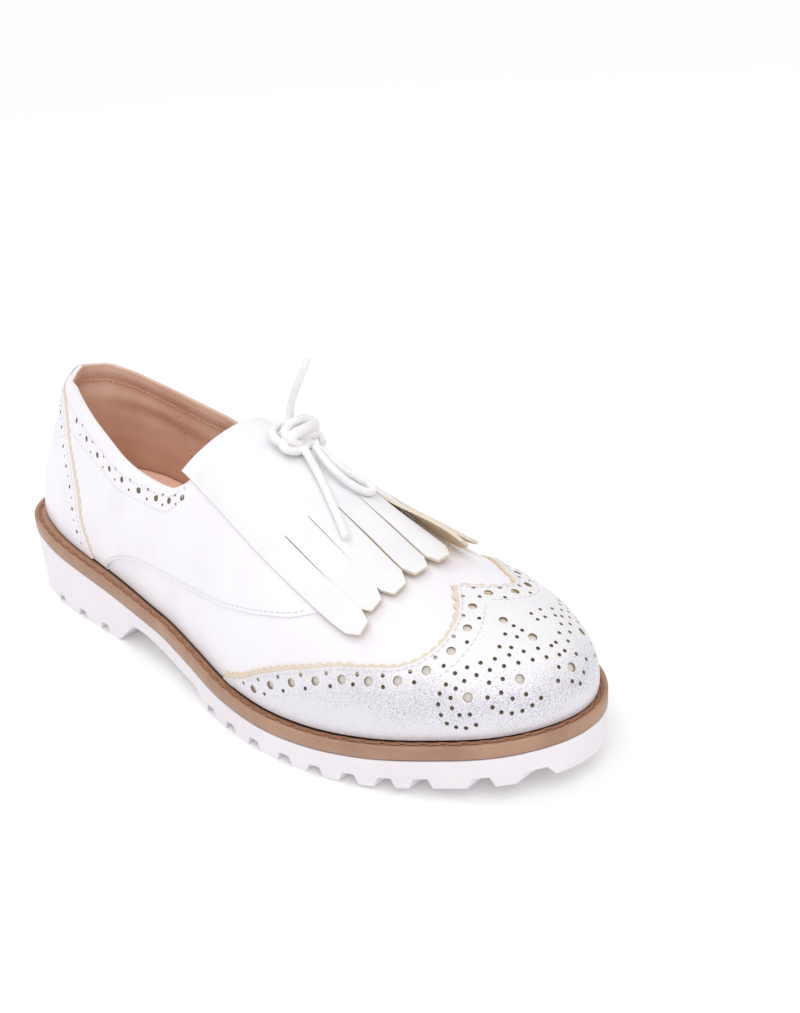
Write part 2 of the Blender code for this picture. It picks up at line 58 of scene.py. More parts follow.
SIDE_WORD = {LATERAL: "lateral", MEDIAL: "medial"}

# Driving sizes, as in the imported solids
LENGTH = 258.0
WELT_THICK = 4.5
GAP = 0.3
WALL = 2.0
INSOLE_THICK = 3.0
TREAD_INSET = 0.8
LACE = 2.6
RIM_LEAN, RIM_REACH = 1.0, 3.2     # how far the collar's edge leans in, over what height

# Welt standing out beyond the upper: station, width
SHELF = ((0, 6.6), (30, 6.2), (70, 5.1), (110, 4.0), (258, 4.0))
# Sole outline: station, centre line, half width
OUTLINE = (
    (0, 0.4, 0.0), (10, 0.4, 21.7), (30, 0.6, 30.6), (50, -0.2, 32.6), (80, -2.9, 31.7),
    (105, -5.5, 31.3), (130, -6.7, 34.5), (155, -5.2, 41.0), (175, -2.2, 45.0), (190, 0.5, 46.0),
    (210, 3.3, 43.3), (230, 5.2, 35.6), (245, 5.9, 25.5), (258, 7.7, 0.0),
)
# Underside of the welt: station, height
WELT_RISE = (
    (0, 26.6), (30, 24.3), (60, 21.1), (90, 18.1), (120, 14.8), (150, 11.4), (180, 9.9),
    (210, 11.4), (235, 14.5), (258, 17.1),
)
# Underside of the outsole: station, height
TREAD_RISE = (
    (0, 0.0), (76, 0.0), (84, 5.8), (92, 10.8), (98, 10.7), (108, 8.9), (120, 7.0), (131, 5.9),
    (133.5, 5.5), (135.5, 3.2), (138, 1.2), (140.5, 0.0), (190, 0.0), (210, 1.1), (235, 4.4), (258, 6.7),
)
# Instep ridge and its sections: station, ridge x, ridge height, lift of the side wall,
# flatness of the top and bulge of the wall on the lateral and the medial side
RIDGE = (
    (105, 3.0, 84.5, 0.75, 0.40, 0.66, 2.0, 7.0),
    (117, 2.2, 83.0, 0.74, 0.42, 0.62, 2.0, 6.5),
    (130, 1.6, 80.9, 0.69, 0.46, 0.58, 2.2, 5.5),
    (148, 1.0, 76.2, 0.66, 0.52, 0.56, 2.4, 4.0),
    (165, 1.0, 68.2, 0.63, 0.55, 0.56, 2.5, 3.0),
    (180, 2.0, 60.3, 0.62, 0.57, 0.57, 2.5, 2.5),
    (192, 3.5, 54.6, 0.62, 0.60, 0.60, 2.5, 2.5),
    (204, 5.0, 51.0, 0.62, 0.62, 0.62, 2.5, 2.5),
)
APEX = 204.0
APEX_SLOPE = -0.20
# Collar edge behind the throat: foot station, then station, x and height of the edge above it
COLLAR_BACK = (14.0, 6.2, 82.6)
COLLAR = {
    LATERAL: ((8, 20.0, -1.8, 81.8), (20, 30.3, -7.4, 80.8), (40, 49.7, -15.6, 78.2),
              (65, 69.3, -21.8, 74.4), (85, 86.5, -25.3, 69.8)),
    MEDIAL: ((8, 14.5, 14.6, 81.4), (20, 24.5, 22.0, 79.0), (40, 40.0, 25.6, 75.2),
             (65, 65.5, 26.4, 71.4), (85, 86.0, 24.8, 69.8)),
}
HEEL_BULGE = 0.5
COLLAR_LIFT = 0.36
COLLAR_LEAN = 0.42
BLEND_FROM = 70.0
# Throat edge under the flap: station, share of the section kept on the lateral and on the medial side
THROAT_KEEP = (
    (105, 0.425, 0.475), (113, 0.455, 0.51), (118, 0.52, 0.565), (123, 0.65, 0.68), (126.5, 0.83, 0.84),
    (128, 1.0, 1.0),
)
THROAT, THROAT_END = THROAT_KEEP[0][0], THROAT_KEEP[-1][0]


# Curves through tables
def curve(stations, values, flat_at_turns=False):
    """A smooth function through a table; flat_at_turns keeps it from overshooting."""
    xs = np.asarray(stations, float)
    ys = np.asarray(values, float)
    step = np.diff(xs)
    rise = np.diff(ys) / step
    slope = np.zeros_like(ys)
    slope[1:-1] = (rise[:-1] * step[1:] + rise[1:] * step[:-1]) / (step[:-1] + step[1:])
    slope[0] = 1.5 * rise[0] - 0.5 * slope[1]
    slope[-1] = 1.5 * rise[-1] - 0.5 * slope[-2]
    if flat_at_turns:
        for i in range(1, len(xs) - 1):
            steepest = 3 * min(abs(rise[i - 1]), abs(rise[i]))
            turning = rise[i - 1] * rise[i] <= 0
            slope[i] = 0 if turning else np.sign(rise[i]) * min(abs(slope[i]), steepest)
        slope[0], slope[-1] = rise[0], rise[-1]

    def value(x):
        x = np.clip(np.asarray(x, float), xs[0], xs[-1])
        i = np.clip(np.searchsorted(xs, x) - 1, 0, len(step) - 1)
        t = (x - xs[i]) / step[i]
        return ((1 + 2 * t) * (1 - t) ** 2 * ys[i] + t * (1 - t) ** 2 * step[i] * slope[i]
                + t * t * (3 - 2 * t) * ys[i + 1] + t * t * (t - 1) * step[i] * slope[i + 1])
    return value


def table_curve(rows, column, **kind):
    table = np.array(rows, float)
    return curve(table[:, 0], table[:, column], **kind)


def smooth_step(value):
    value = np.clip(value, 0, 1)
    return value * value * (3 - 2 * value)


def end_spaced(first, last, count):
    """Stations from first to last, closer together towards both."""
    return first + (last - first) * (1 - np.cos(np.linspace(0, np.pi, count))) / 2


def run_along(points):
    """Distance along a line of points, from its first point."""
    return np.concatenate([[0], np.cumsum(np.linalg.norm(np.diff(points, axis=0), axis=1))])


def spaced_along(points, spacing):
    """Evenly spaced points on the straight runs of a line."""
    points = np.asarray(points, float)
    run = run_along(points)
    at = np.linspace(0, run[-1], max(2, int(round(run[-1] / spacing)) + 1))
    return np.stack([np.interp(at, run, points[:, axis]) for axis in range(points.shape[1])], 1)


def smooth_through(points, spacing):
    """Evenly spaced points on a smooth curve through the points."""
    points = np.asarray(points, float)
    run = run_along(points)
    at = np.linspace(0, run[-1], 24 * len(points))
    fine = np.stack([curve(run, points[:, axis])(at) for axis in range(points.shape[1])], 1)
    return spaced_along(fine, spacing)


centre_line = table_curve(OUTLINE, 1)
half_width_squared = curve([row[0] for row in OUTLINE], [row[2] ** 2 for row in OUTLINE], flat_at_turns=True)
shelf = table_curve(SHELF, 1, flat_at_turns=True)
welt_under = table_curve(WELT_RISE, 1)
tread = table_curve(TREAD_RISE, 1, flat_at_turns=True)
ridge_x, ridge_z, wall_lift = (table_curve(RIDGE, column) for column in (1, 2, 3))
top_flatness = {LATERAL: table_curve(RIDGE, 4), MEDIAL: table_curve(RIDGE, 5)}
wall_bulge = {LATERAL: table_curve(RIDGE, 6), MEDIAL: table_curve(RIDGE, 7)}
throat_keep = {LATERAL: table_curve(THROAT_KEEP, 1, flat_at_turns=True),
               MEDIAL: table_curve(THROAT_KEEP, 2, flat_at_turns=True)}


# The sole's outline and the feather line, where the upper meets the welt
OUTLINE_POINTS = 1600


def half_width(s):
    return np.sqrt(np.maximum(half_width_squared(s), 0))


def outline_side(side, inset):
    """One side of the outline, moved in by a function of the station: rows of x and s, and of the way out."""
    s = end_spaced(0, LENGTH, OUTLINE_POINTS)
    edge = np.stack([centre_line(s) + side * half_width(s), s], 1)
    along = np.gradient(edge, axis=0)
    along[0], along[-1] = (side, 0), (-side, 0)
    along /= np.linalg.norm(along, axis=1)[:, None]
    outward = np.stack([side * along[:, 1], -side * along[:, 0]], 1)
    return edge - inset(s)[:, None] * outward, outward


def no_inset(s):
    return 0 * s


FEATHER = {side: outline_side(side, shelf) for side in SIDES}
FEATHER_RUN = {side: run_along(FEATHER[side][0]) for side in SIDES}
MIDDLE = 0.5 * (min(outline_side(LATERAL, no_inset)[0][:, 0]) + max(outline_side(MEDIAL, no_inset)[0][:, 0]))


def feather_height(s):
    return welt_under(s) + WELT_THICK + GAP


def feather_point(side, s):
    """A point of the feather line and the way out of the shoe there."""
    edge, outward = FEATHER[side]
    x = np.interp(s, edge[:, 1], edge[:, 0])
    out = np.array([np.interp(s, edge[:, 1], outward[:, axis]) for axis in (0, 1)])
    out /= np.linalg.norm(out)
    return np.array([x, s, float(feather_height(s))]), np.array([out[0], out[1], 0.0])


def feather_run(side, s):
    """Distance along the feather line from the back of the heel."""
    return np.interp(s, FEATHER[side][0][:, 1], FEATHER_RUN[side])


def feather_station(t):
    """Station of the feather line at a signed run, minus on the lateral side."""
    found = {side: np.interp(np.abs(t), FEATHER_RUN[side], FEATHER[side][0][:, 1]) for side in SIDES}
    return np.where(np.asarray(t) < 0, found[LATERAL], found[MEDIAL])


# The upper's columns: four handles of a smooth curve from the feather line up
def section(side, s):
    """The whole section over the instep at a station, from the feather line to the ridge."""
    foot = feather_point(side, s)[0]
    top = np.array([float(ridge_x(s)), s, float(ridge_z(s))])
    up = np.array([side * float(wall_bulge[side](s)), 0, float(wall_lift(s)) * (top[2] - foot[2])])
    reach = np.array([float(top_flatness[side](s)) * (foot[0] - top[0]), 0, 0])
    return np.array([foot, foot + up, top + reach, top])


def lower_share(handles, share):
    """The lower share of a column, as a column of its own."""
    a, b, c = (handles[i] + (handles[i + 1] - handles[i]) * share for i in range(3))
    d = a + (b - a) * share
    e = b + (c - b) * share
    return np.array([handles[0], a, d, d + (e - d) * share])


def throat_column(side, s):
    return lower_share(section(side, s), float(throat_keep[side](s)))


def toe_column(side, s):
    """A column of the toe, running up to the apex of the ridge."""
    foot, out = feather_point(side, s)
    top = np.array([float(ridge_x(APEX)), APEX, float(ridge_z(APEX))])
    run = top[:2] - foot[:2]
    up = out * float(wall_bulge[side](APEX))
    up[2] = float(wall_lift(APEX)) * (top[2] - foot[2])
    reach = float(top_flatness[side](APEX)) * np.array([run[0], run[1], APEX_SLOPE * run[1]])
    return np.array([foot, foot + up, top - reach, top])


def collar_curves():
    """Station, x and height of the collar edge over the signed run of the feather line."""
    rows = [(0.0, COLLAR_BACK)]
    for side in SIDES:
        throat = throat_column(side, THROAT)[3]
        edges = [(foot, (s, x, z)) for foot, s, x, z in COLLAR[side]]
        edges.append((THROAT, (throat[1], throat[0], throat[2])))
        rows.extend((side * float(feather_run(side, foot)), edge) for foot, edge in edges)
    rows.sort()
    return [curve([run for run, _ in rows], [edge[axis] for _, edge in rows]) for axis in range(3)]


collar_s, collar_x, collar_z = collar_curves()
THROAT_HANDLES = {side: throat_column(side, THROAT) for side in SIDES}


def collar_column(side, s):
    """A column of the heel and quarters, running up to the collar edge."""
    foot, out = feather_point(side, s)
    run = side * feather_run(side, s)
    top = np.array([float(collar_x(run)), float(collar_s(run)), float(collar_z(run))])
    across = top - foot
    up = out * HEEL_BULGE
    up[2] = COLLAR_LIFT * across[2]
    fall = np.array([COLLAR_LEAN * across[0], COLLAR_LEAN * across[1], COLLAR_LIFT * across[2]])
    throat = THROAT_HANDLES[side]
    share = float(smooth_step((s - BLEND_FROM) / (THROAT - BLEND_FROM)))
    up = (1 - share) * up + share * (throat[1] - throat[0])
    fall = (1 - share) * fall + share * (throat[3] - throat[2])
    return np.array([foot, foot + up, top - fall, top])


def upper_column(side, s):
    if s < THROAT:
        return collar_column(side, s)
    if s < THROAT_END:
        return throat_column(side, s)
    if s <= APEX:
        return section(side, s)
    return toe_column(side, s)


def along_column(handles, share):
    """Points of columns at their shares; handles and shares are arrays of one shape."""
    a, b = (1 - share)[..., None], share[..., None]
    return (a ** 3 * handles[..., 0, :] + 3 * a * a * b * handles[..., 1, :]
            + 3 * a * b * b * handles[..., 2, :] + b ** 3 * handles[..., 3, :])


LENGTH_POINTS = 25         # along a column, for its length
SLOPE_RUN, SLOPE_SHARE = 0.6, 0.012        # reaches over which the skin's slopes are measured
SLOPE_TOP = 0.985          # highest share where they are


class Skin:
    """Columns tabled along a signed run: place(t, v) with v from 0 at the foot to 1 at the top."""

    def __init__(self, runs, handles):
        self.runs = runs
        self.handles = handles
        self.relief = None
        shares = np.linspace(0, 1, LENGTH_POINTS)
        lines = along_column(handles[:, None], np.broadcast_to(shares, (len(runs), LENGTH_POINTS)))
        self.lengths = np.linalg.norm(np.diff(lines, axis=1), axis=2).sum(1)

    def length(self, t):
        return np.interp(t, self.runs, self.lengths)

    def plain(self, t, v):
        t, v = np.broadcast_arrays(np.asarray(t, float), np.asarray(v, float))
        at = np.clip(np.searchsorted(self.runs, t) - 1, 0, len(self.runs) - 2)
        share = ((t - self.runs[at]) / (self.runs[at + 1] - self.runs[at]))[..., None, None]
        return along_column(self.handles[at] * (1 - share) + self.handles[at + 1] * share, v)

    def place(self, t, v):
        """Points and unit normals, pointing out of the shoe."""
        t, v = np.broadcast_arrays(np.asarray(t, float), np.asarray(v, float))
        near = np.clip(v, SLOPE_SHARE, SLOPE_TOP)
        ahead = np.minimum(t + SLOPE_RUN, self.runs[-1])
        behind = np.maximum(t - SLOPE_RUN, self.runs[0])
        along = self.plain(ahead, near) - self.plain(behind, near)
        up = self.plain(t, near + SLOPE_SHARE) - self.plain(t, near - SLOPE_SHARE)
        normal = np.cross(along, up)
        normal /= np.linalg.norm(normal, axis=-1)[..., None]
        points = self.plain(t, v)
        if self.relief:
            points = points + normal * self.relief(t, v)[..., None]
        return points, normal


RUN_STEP = 0.5             # between the columns of a skin


def upper_skin():
    runs, handles = [], []
    for side in SIDES:
        end = FEATHER_RUN[side][-1]
        own = np.linspace(0, end, int(end / RUN_STEP))
        stations = feather_station(side * own)
        columns = np.array([upper_column(side, s) for s in stations])
        runs.append(side * own)
        handles.append(columns)
    return Skin(np.concatenate([runs[0][::-1], runs[1][1:]]),
                np.concatenate([handles[0][::-1], handles[1][1:]]))


SKIN = upper_skin()


# Flat charts of the skin: patterns are drawn in them, in millimetres
class HeelChart:
    """Run along the feather line, height up the column."""

    def flat(self, t, v):
        return np.stack([t, v * SKIN.length(t)], -1)

    def skin(self, flat):
        t = flat[..., 0]
        return t, np.clip(flat[..., 1] / SKIN.length(t), 0, 1)


FAN_COLUMNS = 200


class ToeChart:
    """Distance from the ridge to either side over the station; the toe fans out from the apex."""

    def __init__(self):
        self.apex = np.array([float(ridge_x(APEX)), APEX])
        self.fans = {}
        for side in SIDES:
            runs = np.linspace(feather_run(side, APEX), FEATHER_RUN[side][-1], FAN_COLUMNS)
            foot = SKIN.plain(side * runs, 0.0)[:, :2] - self.apex
            self.fans[side] = (side * runs, np.arctan2(foot[:, 0], foot[:, 1]))
        self.tip = self.fans[LATERAL][1][-1]

    def flat(self, t, v):
        t, v = np.broadcast_arrays(np.asarray(t, float), np.asarray(v, float))
        side = np.where(t < 0, LATERAL, MEDIAL)
        s = feather_station(t)
        away = (1 - v) * SKIN.length(t)
        foot = SKIN.plain(t, 0.0)[..., :2] - self.apex
        angle = np.where(s > APEX, np.arctan2(foot[..., 0], foot[..., 1]), side * np.pi / 2)
        ahead = np.where(s > APEX, away * np.cos(angle), 0)
        return np.stack([away * np.sin(angle), np.minimum(s, APEX) + ahead], -1)

    def skin(self, flat):
        p, q = flat[..., 0], flat[..., 1]
        angle = np.arctan2(p, np.maximum(q - APEX, 1e-9))
        (lateral_t, lateral_angle), (medial_t, medial_angle) = self.fans[LATERAL], self.fans[MEDIAL]
        fan = np.where(angle < self.tip, np.interp(angle, lateral_angle, lateral_t),
                       np.interp(angle, medial_angle[::-1], medial_t[::-1]))
        sides = np.where(p < 0, -feather_run(LATERAL, q), feather_run(MEDIAL, q))
        t = np.where(q > APEX, fan, sides)
        away = np.where(q > APEX, np.hypot(p, q - APEX), np.abs(p))
        return t, np.clip(1 - away / SKIN.length(t), 0, 1)


HEEL_CHART, TOE_CHART = HeelChart(), ToeChart()


# Soft creases of the leather: side, foot station, height up the skin, half length, half width, turn, rise
CREASES = (
    (LATERAL, 92.0, 30.0, 17.0, 5.0, -38.0, -0.45), (LATERAL, 84.0, 36.0, 15.0, 4.5, -38.0, 0.35),
    (LATERAL, 134.0, 20.0, 15.0, 4.5, 8.0, -0.45), (LATERAL, 126.0, 27.0, 18.0, 4.0, 14.0, 0.25),
    (LATERAL, 158.0, 27.0, 12.0, 3.6, 70.0, -0.35), (LATERAL, 64.0, 27.0, 11.0, 5.0, -55.0, -0.3),
    (LATERAL, 30.0, 24.0, 14.0, 6.0, 15.0, -0.35), (LATERAL, 8.0, 34.0, 5.0, 13.0, 0.0, 0.35),
    (MEDIAL, 90.0, 30.0, 16.0, 5.0, 40.0, -0.5), (MEDIAL, 104.0, 22.0, 15.0, 4.5, 30.0, 0.35),
    (MEDIAL, 136.0, 24.0, 14.0, 4.5, -10.0, -0.45), (MEDIAL, 160.0, 28.0, 12.0, 3.6, -68.0, -0.35),
    (MEDIAL, 34.0, 26.0, 13.0, 6.0, -20.0, -0.35),
)


def from_edge(t, v):
    """Distance down the column from its top, the collar edge behind the throat."""
    return (1 - v) * SKIN.length(t)


def rim_lean(t, v):
    """How far the skin leans in towards the collar edge."""
    near = np.clip(1 - from_edge(t, v) / RIM_REACH, 0, 1)
    return np.where(feather_station(t) < THROAT_END, RIM_LEAN * near ** 2, 0.0)


def soft_relief(t, v):
    up = v * SKIN.length(t)
    rise = -rim_lean(t, v)
    for side, s, height, long, wide, turn, crown in CREASES:
        away, over = t - side * feather_run(side, s), up - height
        c, n = np.cos(np.radians(turn)), np.sin(np.radians(turn))
        mound = np.exp(-((c * away + n * over) / long) ** 2 - ((c * over - n * away) / wide) ** 2)
        rise = rise + crown * mound
    return rise


SKIN.relief = soft_relief


# Finishes
class Tap:
    """An output socket of a finish; arithmetic on taps adds Math nodes."""

    def __init__(self, finish, socket):
        self.finish = finish
        self.socket = socket

    def math(self, operation, first, second):
        return self.finish.node("ShaderNodeMath", {"operation": operation}, {0: first, 1: second})

    def __add__(self, other):
        return self.math("ADD", self, other)

    def __radd__(self, other):
        return self.math("ADD", other, self)

    def __sub__(self, other):
        return self.math("SUBTRACT", self, other)

    def __rsub__(self, other):
        return self.math("SUBTRACT", other, self)

    def __mul__(self, other):
        return self.math("MULTIPLY", self, other)

    def __rmul__(self, other):
        return self.math("MULTIPLY", other, self)


class Finish:
    """A material in the making: constants on its shader, then the nodes that feed it."""

    def __init__(self, name, **constants):
        self.material = bpy.data.materials.new(name)
        self.material.use_nodes = True
        self.tree = self.material.node_tree
        self.shader = self.tree.nodes["Principled BSDF"]
        for word, value in constants.items():
            self.shader.inputs[word.replace("_", " ").title().replace("Ior", "IOR")].default_value = value

    def node(self, kind, settings=None, sockets=None, out=0):
        made = self.tree.nodes.new(kind)
        for word, value in (settings or {}).items():
            setattr(made, word, value)
        for key, value in (sockets or {}).items():
            self.plug(made.inputs[key], value)
        return Tap(self, made.outputs[out])

    def plug(self, socket, value):
        if isinstance(value, Tap):
            self.tree.links.new(value.socket, socket)
        else:
            socket.default_value = value

    def feed(self, **sockets):
        for word, tap in sockets.items():
            self.plug(self.shader.inputs[word.replace("_", " ").title()], tap)

    def place(self):
        return self.node("ShaderNodeTexCoord", out="Object")

    def stretched(self, scales):
        """Places scaled differently along the three axes."""
        return self.node("ShaderNodeMapping", {}, {"Vector": self.place(), "Scale": scales})

    def noise(self, grain, detail, roughness=0.55, vector=None):
        """Noise from 0 to 1 with patches about grain millimetres wide."""
        return self.node("ShaderNodeTexNoise", {}, {"Vector": vector or self.place(), "Detail": detail,
                                                    "Roughness": roughness, "Scale": 1 / (grain * MM)})

    def cells(self, grain, feature="F1", out="Distance"):
        return self.node("ShaderNodeTexVoronoi", {"feature": feature},
                         {"Vector": self.place(), "Scale": 1 / (grain * MM)}, out)

    def step(self, tap, low, high):
        """0 below low, 1 above high, smooth between."""
        return self.node("ShaderNodeMapRange", {"interpolation_type": "SMOOTHSTEP"},
                         {"Value": tap, "From Min": low, "From Max": high})

    def mix(self, share, first, second):
        colours = [value if isinstance(value, Tap) else (*value, 1) for value in (first, second)]
        return self.node("ShaderNodeMix", {"data_type": "RGBA"}, {0: share, 6: colours[0], 7: colours[1]}, 2)

    def bump(self, height, depth, strength):
        """Relief on the surface: height from 0 to 1 stands for depth millimetres."""
        self.feed(Normal=self.node("ShaderNodeBump", {}, {"Height": height, "Distance": depth * MM,
                                                          "Strength": strength}))


def white_leather(name, light, shade, roughness, coat=0.05):
    """Smooth full-grain leather: fine pores, faint pulled lines, slow changes of gloss."""
    finish = Finish(name, coat_weight=coat, coat_roughness=0.3, specular_ior_level=0.45)
    pores = finish.cells(0.55, "SMOOTH_F1")
    grain = finish.noise(0.35, 4.0, 0.6)
    cloud = finish.noise(16.0, 2.0)
    finish.feed(Base_Color=finish.mix(finish.step(cloud, 0.35, 0.75), light, shade),
                Roughness=cloud * 0.16 + (roughness - 0.08))
    finish.bump(pores * 0.55 + grain * 0.45, 0.07, 0.6)
    return finish.material


def shimmer_leather():
    """White leather under a crackled silver film with dark specks and metal flakes; painted shade darkens the
    lower part of the cap and tints it lilac, and the dark specks crowd into a band of painted sparkle above
    it, most of them round the toe.
    """
    finish = Finish("shimmer_leather", coat_weight=0.12, coat_roughness=0.22, specular_ior_level=0.55)
    specks = finish.noise(0.38, 3.0, 0.7)
    flakes = finish.cells(0.6, out="Color")
    flake = finish.node("ShaderNodeSeparateColor", {}, {0: flakes})
    cloud = finish.noise(12.0, 2.0)
    height = finish.node("ShaderNodeSeparateXYZ", {}, {0: finish.place()}, 2)
    along = finish.node("ShaderNodeSeparateXYZ", {}, {0: finish.place()}, 1)
    cloudy = height + cloud * 0.012
    # low: the lower part of the cap; its ground colour is darker lilac as painted shade, and its metal flakes
    # are real
    low = 1 - finish.step(cloudy, 0.030, 0.052)
    # middle: a band of painted sparkle just above the painted shade
    middle = low * finish.step(cloudy, 0.028, 0.036)
    toe = 1 - finish.step(along + cloud * 0.02, -0.085, -0.035)
    ground = finish.mix(low, (0.89, 0.885, 0.90), (0.80, 0.79, 0.84))
    # dark specks: a sparse real crackle everywhere, plus many more as painted sparkle in the band round the
    # toe
    dark = finish.step(specks, 0.48, 0.62) * (middle * (toe * 0.7 + 0.1) + 0.2)
    finish.feed(Base_Color=finish.mix(dark, ground, (0.34, 0.335, 0.365)),
                Roughness=flake * 0.2 + 0.3, Metallic=low * flake * 0.45 + 0.04)
    finish.bump(specks * 0.6 + finish.cells(0.7) * 0.4, 0.09, 0.7)
    return finish.material


def cut_edge(name, light, dark, grain=0.5):
    """The fibres of a cut leather edge."""
    finish = Finish(name, specular_ior_level=0.25)
    fibres = finish.noise(grain, 4.0, 0.65)
    cloud = finish.noise(4.0, 2.0)
    finish.feed(Base_Color=finish.mix(fibres * 0.7 + cloud * 0.3, dark, light), Roughness=fibres * 0.2 + 0.65)
    finish.bump(fibres, 0.2, 0.7)
    return finish.material


def lining_leather():
    finish = Finish("lining_leather", specular_ior_level=0.35)
    pores = finish.noise(0.5, 4.0, 0.6)
    cloud = finish.noise(22.0, 3.0)
    worn = finish.mix(finish.step(cloud, 0.3, 0.75), (0.68, 0.44, 0.325), (0.78, 0.55, 0.43))
    finish.feed(Base_Color=finish.mix(pores * 0.3, worn, (0.55, 0.335, 0.235)), Roughness=cloud * 0.2 + 0.42)
    finish.bump(pores * 0.6 + finish.cells(0.9) * 0.4, 0.08, 0.6)
    return finish.material


def insole_leather():
    finish = Finish("insole_leather", specular_ior_level=0.35)
    pores = finish.noise(0.6, 4.0, 0.6)
    cloud = finish.noise(25.0, 3.0)
    finish.feed(Base_Color=finish.mix(finish.step(cloud, 0.3, 0.75), (0.95, 0.60, 0.45), (0.97, 0.69, 0.54)),
                Roughness=cloud * 0.2 + 0.45)
    finish.bump(pores, 0.1, 0.6)
    return finish.material


def welt_leather(name, light, dark, pores):
    """Brown welt: drawn fibres along it, darker in its pores."""
    finish = Finish(name, coat_weight=0.12, coat_roughness=0.35, specular_ior_level=0.4)
    drawn = finish.noise(0.8, 4.0, 0.6, finish.stretched((1.0, 0.35, 2.2)))
    cloud = finish.noise(14.0, 3.0)
    base = finish.mix(finish.step(cloud, 0.3, 0.75), dark, light)
    finish.feed(Base_Color=finish.mix(finish.step(drawn, 0.5, 0.75) * 0.35, base, pores),
                Roughness=drawn * 0.25 + 0.36)
    finish.bump(drawn, 0.1, 0.6)
    return finish.material


def moulded_rubber():
    finish = Finish("moulded_rubber", specular_ior_level=0.35)
    skin = finish.noise(0.45, 3.0, 0.6)
    cloud = finish.noise(18.0, 3.0)
    finish.feed(Base_Color=finish.mix(finish.step(cloud, 0.3, 0.8), (0.83, 0.79, 0.825), (0.86, 0.835, 0.86)),
                Roughness=cloud * 0.14 + 0.48)
    finish.bump(skin, 0.05, 0.5)
    return finish.material


def spun_thread(name, light, dark):
    finish = Finish(name, specular_ior_level=0.3)
    twist = finish.noise(0.3, 2.0)
    finish.feed(Base_Color=finish.mix(twist, dark, light), Roughness=twist * 0.2 + 0.5)
    finish.bump(twist, 0.08, 0.6)
    return finish.material


def woven_lace():
    """Waxed round cord: its plaiting is in the mesh, the fibres are here."""
    finish = Finish("woven_lace", specular_ior_level=0.35, sheen_weight=0.2)
    fibres = finish.noise(0.25, 3.0, 0.6)
    cloud = finish.noise(5.0, 2.0)
    finish.feed(Base_Color=finish.mix(finish.step(cloud, 0.35, 0.8), (0.91, 0.90, 0.91), (0.85, 0.83, 0.85)),
                Roughness=fibres * 0.2 + 0.5)
    finish.bump(fibres, 0.08, 0.6)
    return finish.material


def punched_floor(name, light, dark):
    finish = Finish(name, specular_ior_level=0.2)
    fibres = finish.noise(0.5, 3.0, 0.6)
    finish.feed(Base_Color=finish.mix(fibres, dark, light), Roughness=fibres * 0.1 + 0.75)
    finish.bump(fibres, 0.1, 0.6)
    return finish.material


def studio_floor():
    finish = Finish("studio_floor", specular_ior_level=0.1, emission_color=(1, 1, 1, 1),
                    emission_strength=0.08)
    cloud = finish.noise(300.0, 2.0)
    finish.feed(Base_Color=finish.mix(cloud, (0.925, 0.925, 0.93), (0.94, 0.94, 0.94)),
                Roughness=cloud * 0.1 + 0.75)
    return finish.material


QUARTER_LEATHER = white_leather("quarter_leather", (0.90, 0.885, 0.92), (0.865, 0.845, 0.89), 0.42)
COUNTER_LEATHER = white_leather("counter_leather", (0.885, 0.865, 0.91), (0.84, 0.815, 0.875), 0.36, 0.12)
FLAP_LEATHER = white_leather("flap_leather", (0.88, 0.88, 0.885), (0.83, 0.83, 0.85), 0.40, 0.1)
SHIMMER_LEATHER = shimmer_leather()
CREAM_EDGE = cut_edge("cream_edge", (0.86, 0.80, 0.70), (0.68, 0.57, 0.42))
TAN_BACK = cut_edge("tan_back", (0.86, 0.70, 0.50), (0.62, 0.44, 0.26), 0.7)
# Hole walls are cut edges darkened with painted shade; the floors of small holes are painted shade; the
# floors of large holes keep the underlay's own pale colour
HOLE_WALL_PAINTED_SHADE = cut_edge("hole_wall_painted_shade", (0.42, 0.34, 0.21), (0.25, 0.20, 0.12))
SMALL_FLOOR_PAINTED_SHADE = punched_floor("small_hole_floor_painted_shade", (0.33, 0.27, 0.17), (0.20, 0.16, 0.10))
LARGE_FLOOR = punched_floor("large_hole_floor", (0.88, 0.84, 0.83), (0.76, 0.69, 0.66))
LINING_LEATHER = lining_leather()
INSOLE_LEATHER = insole_leather()
WELT_LEATHER = welt_leather("welt_leather", (0.45, 0.265, 0.175), (0.36, 0.205, 0.13), (0.26, 0.133, 0.076))
# A darker copy of the welt leather: painted shade in the gap where the upper meets the welt
WELT_PAINTED_SHADE = welt_leather("welt_painted_shade", (0.20, 0.108, 0.068), (0.14, 0.074, 0.046), (0.09, 0.045, 0.027))
MOULDED_RUBBER = moulded_rubber()
PALE_THREAD = spun_thread("pale_thread", (0.80, 0.79, 0.82), (0.66, 0.65, 0.68))
LINING_THREAD = spun_thread("lining_thread", (0.80, 0.50, 0.33), (0.50, 0.28, 0.16))
WELT_THREAD = spun_thread("welt_thread", (0.46, 0.225, 0.135), (0.23, 0.10, 0.053))
WOVEN_LACE = woven_lace()


# Meshes
def world(points):
    points = np.asarray(points, float)
    return np.stack([points[..., 0] - MIDDLE, LENGTH / 2 - points[..., 1], points[..., 2]], -1) * MM


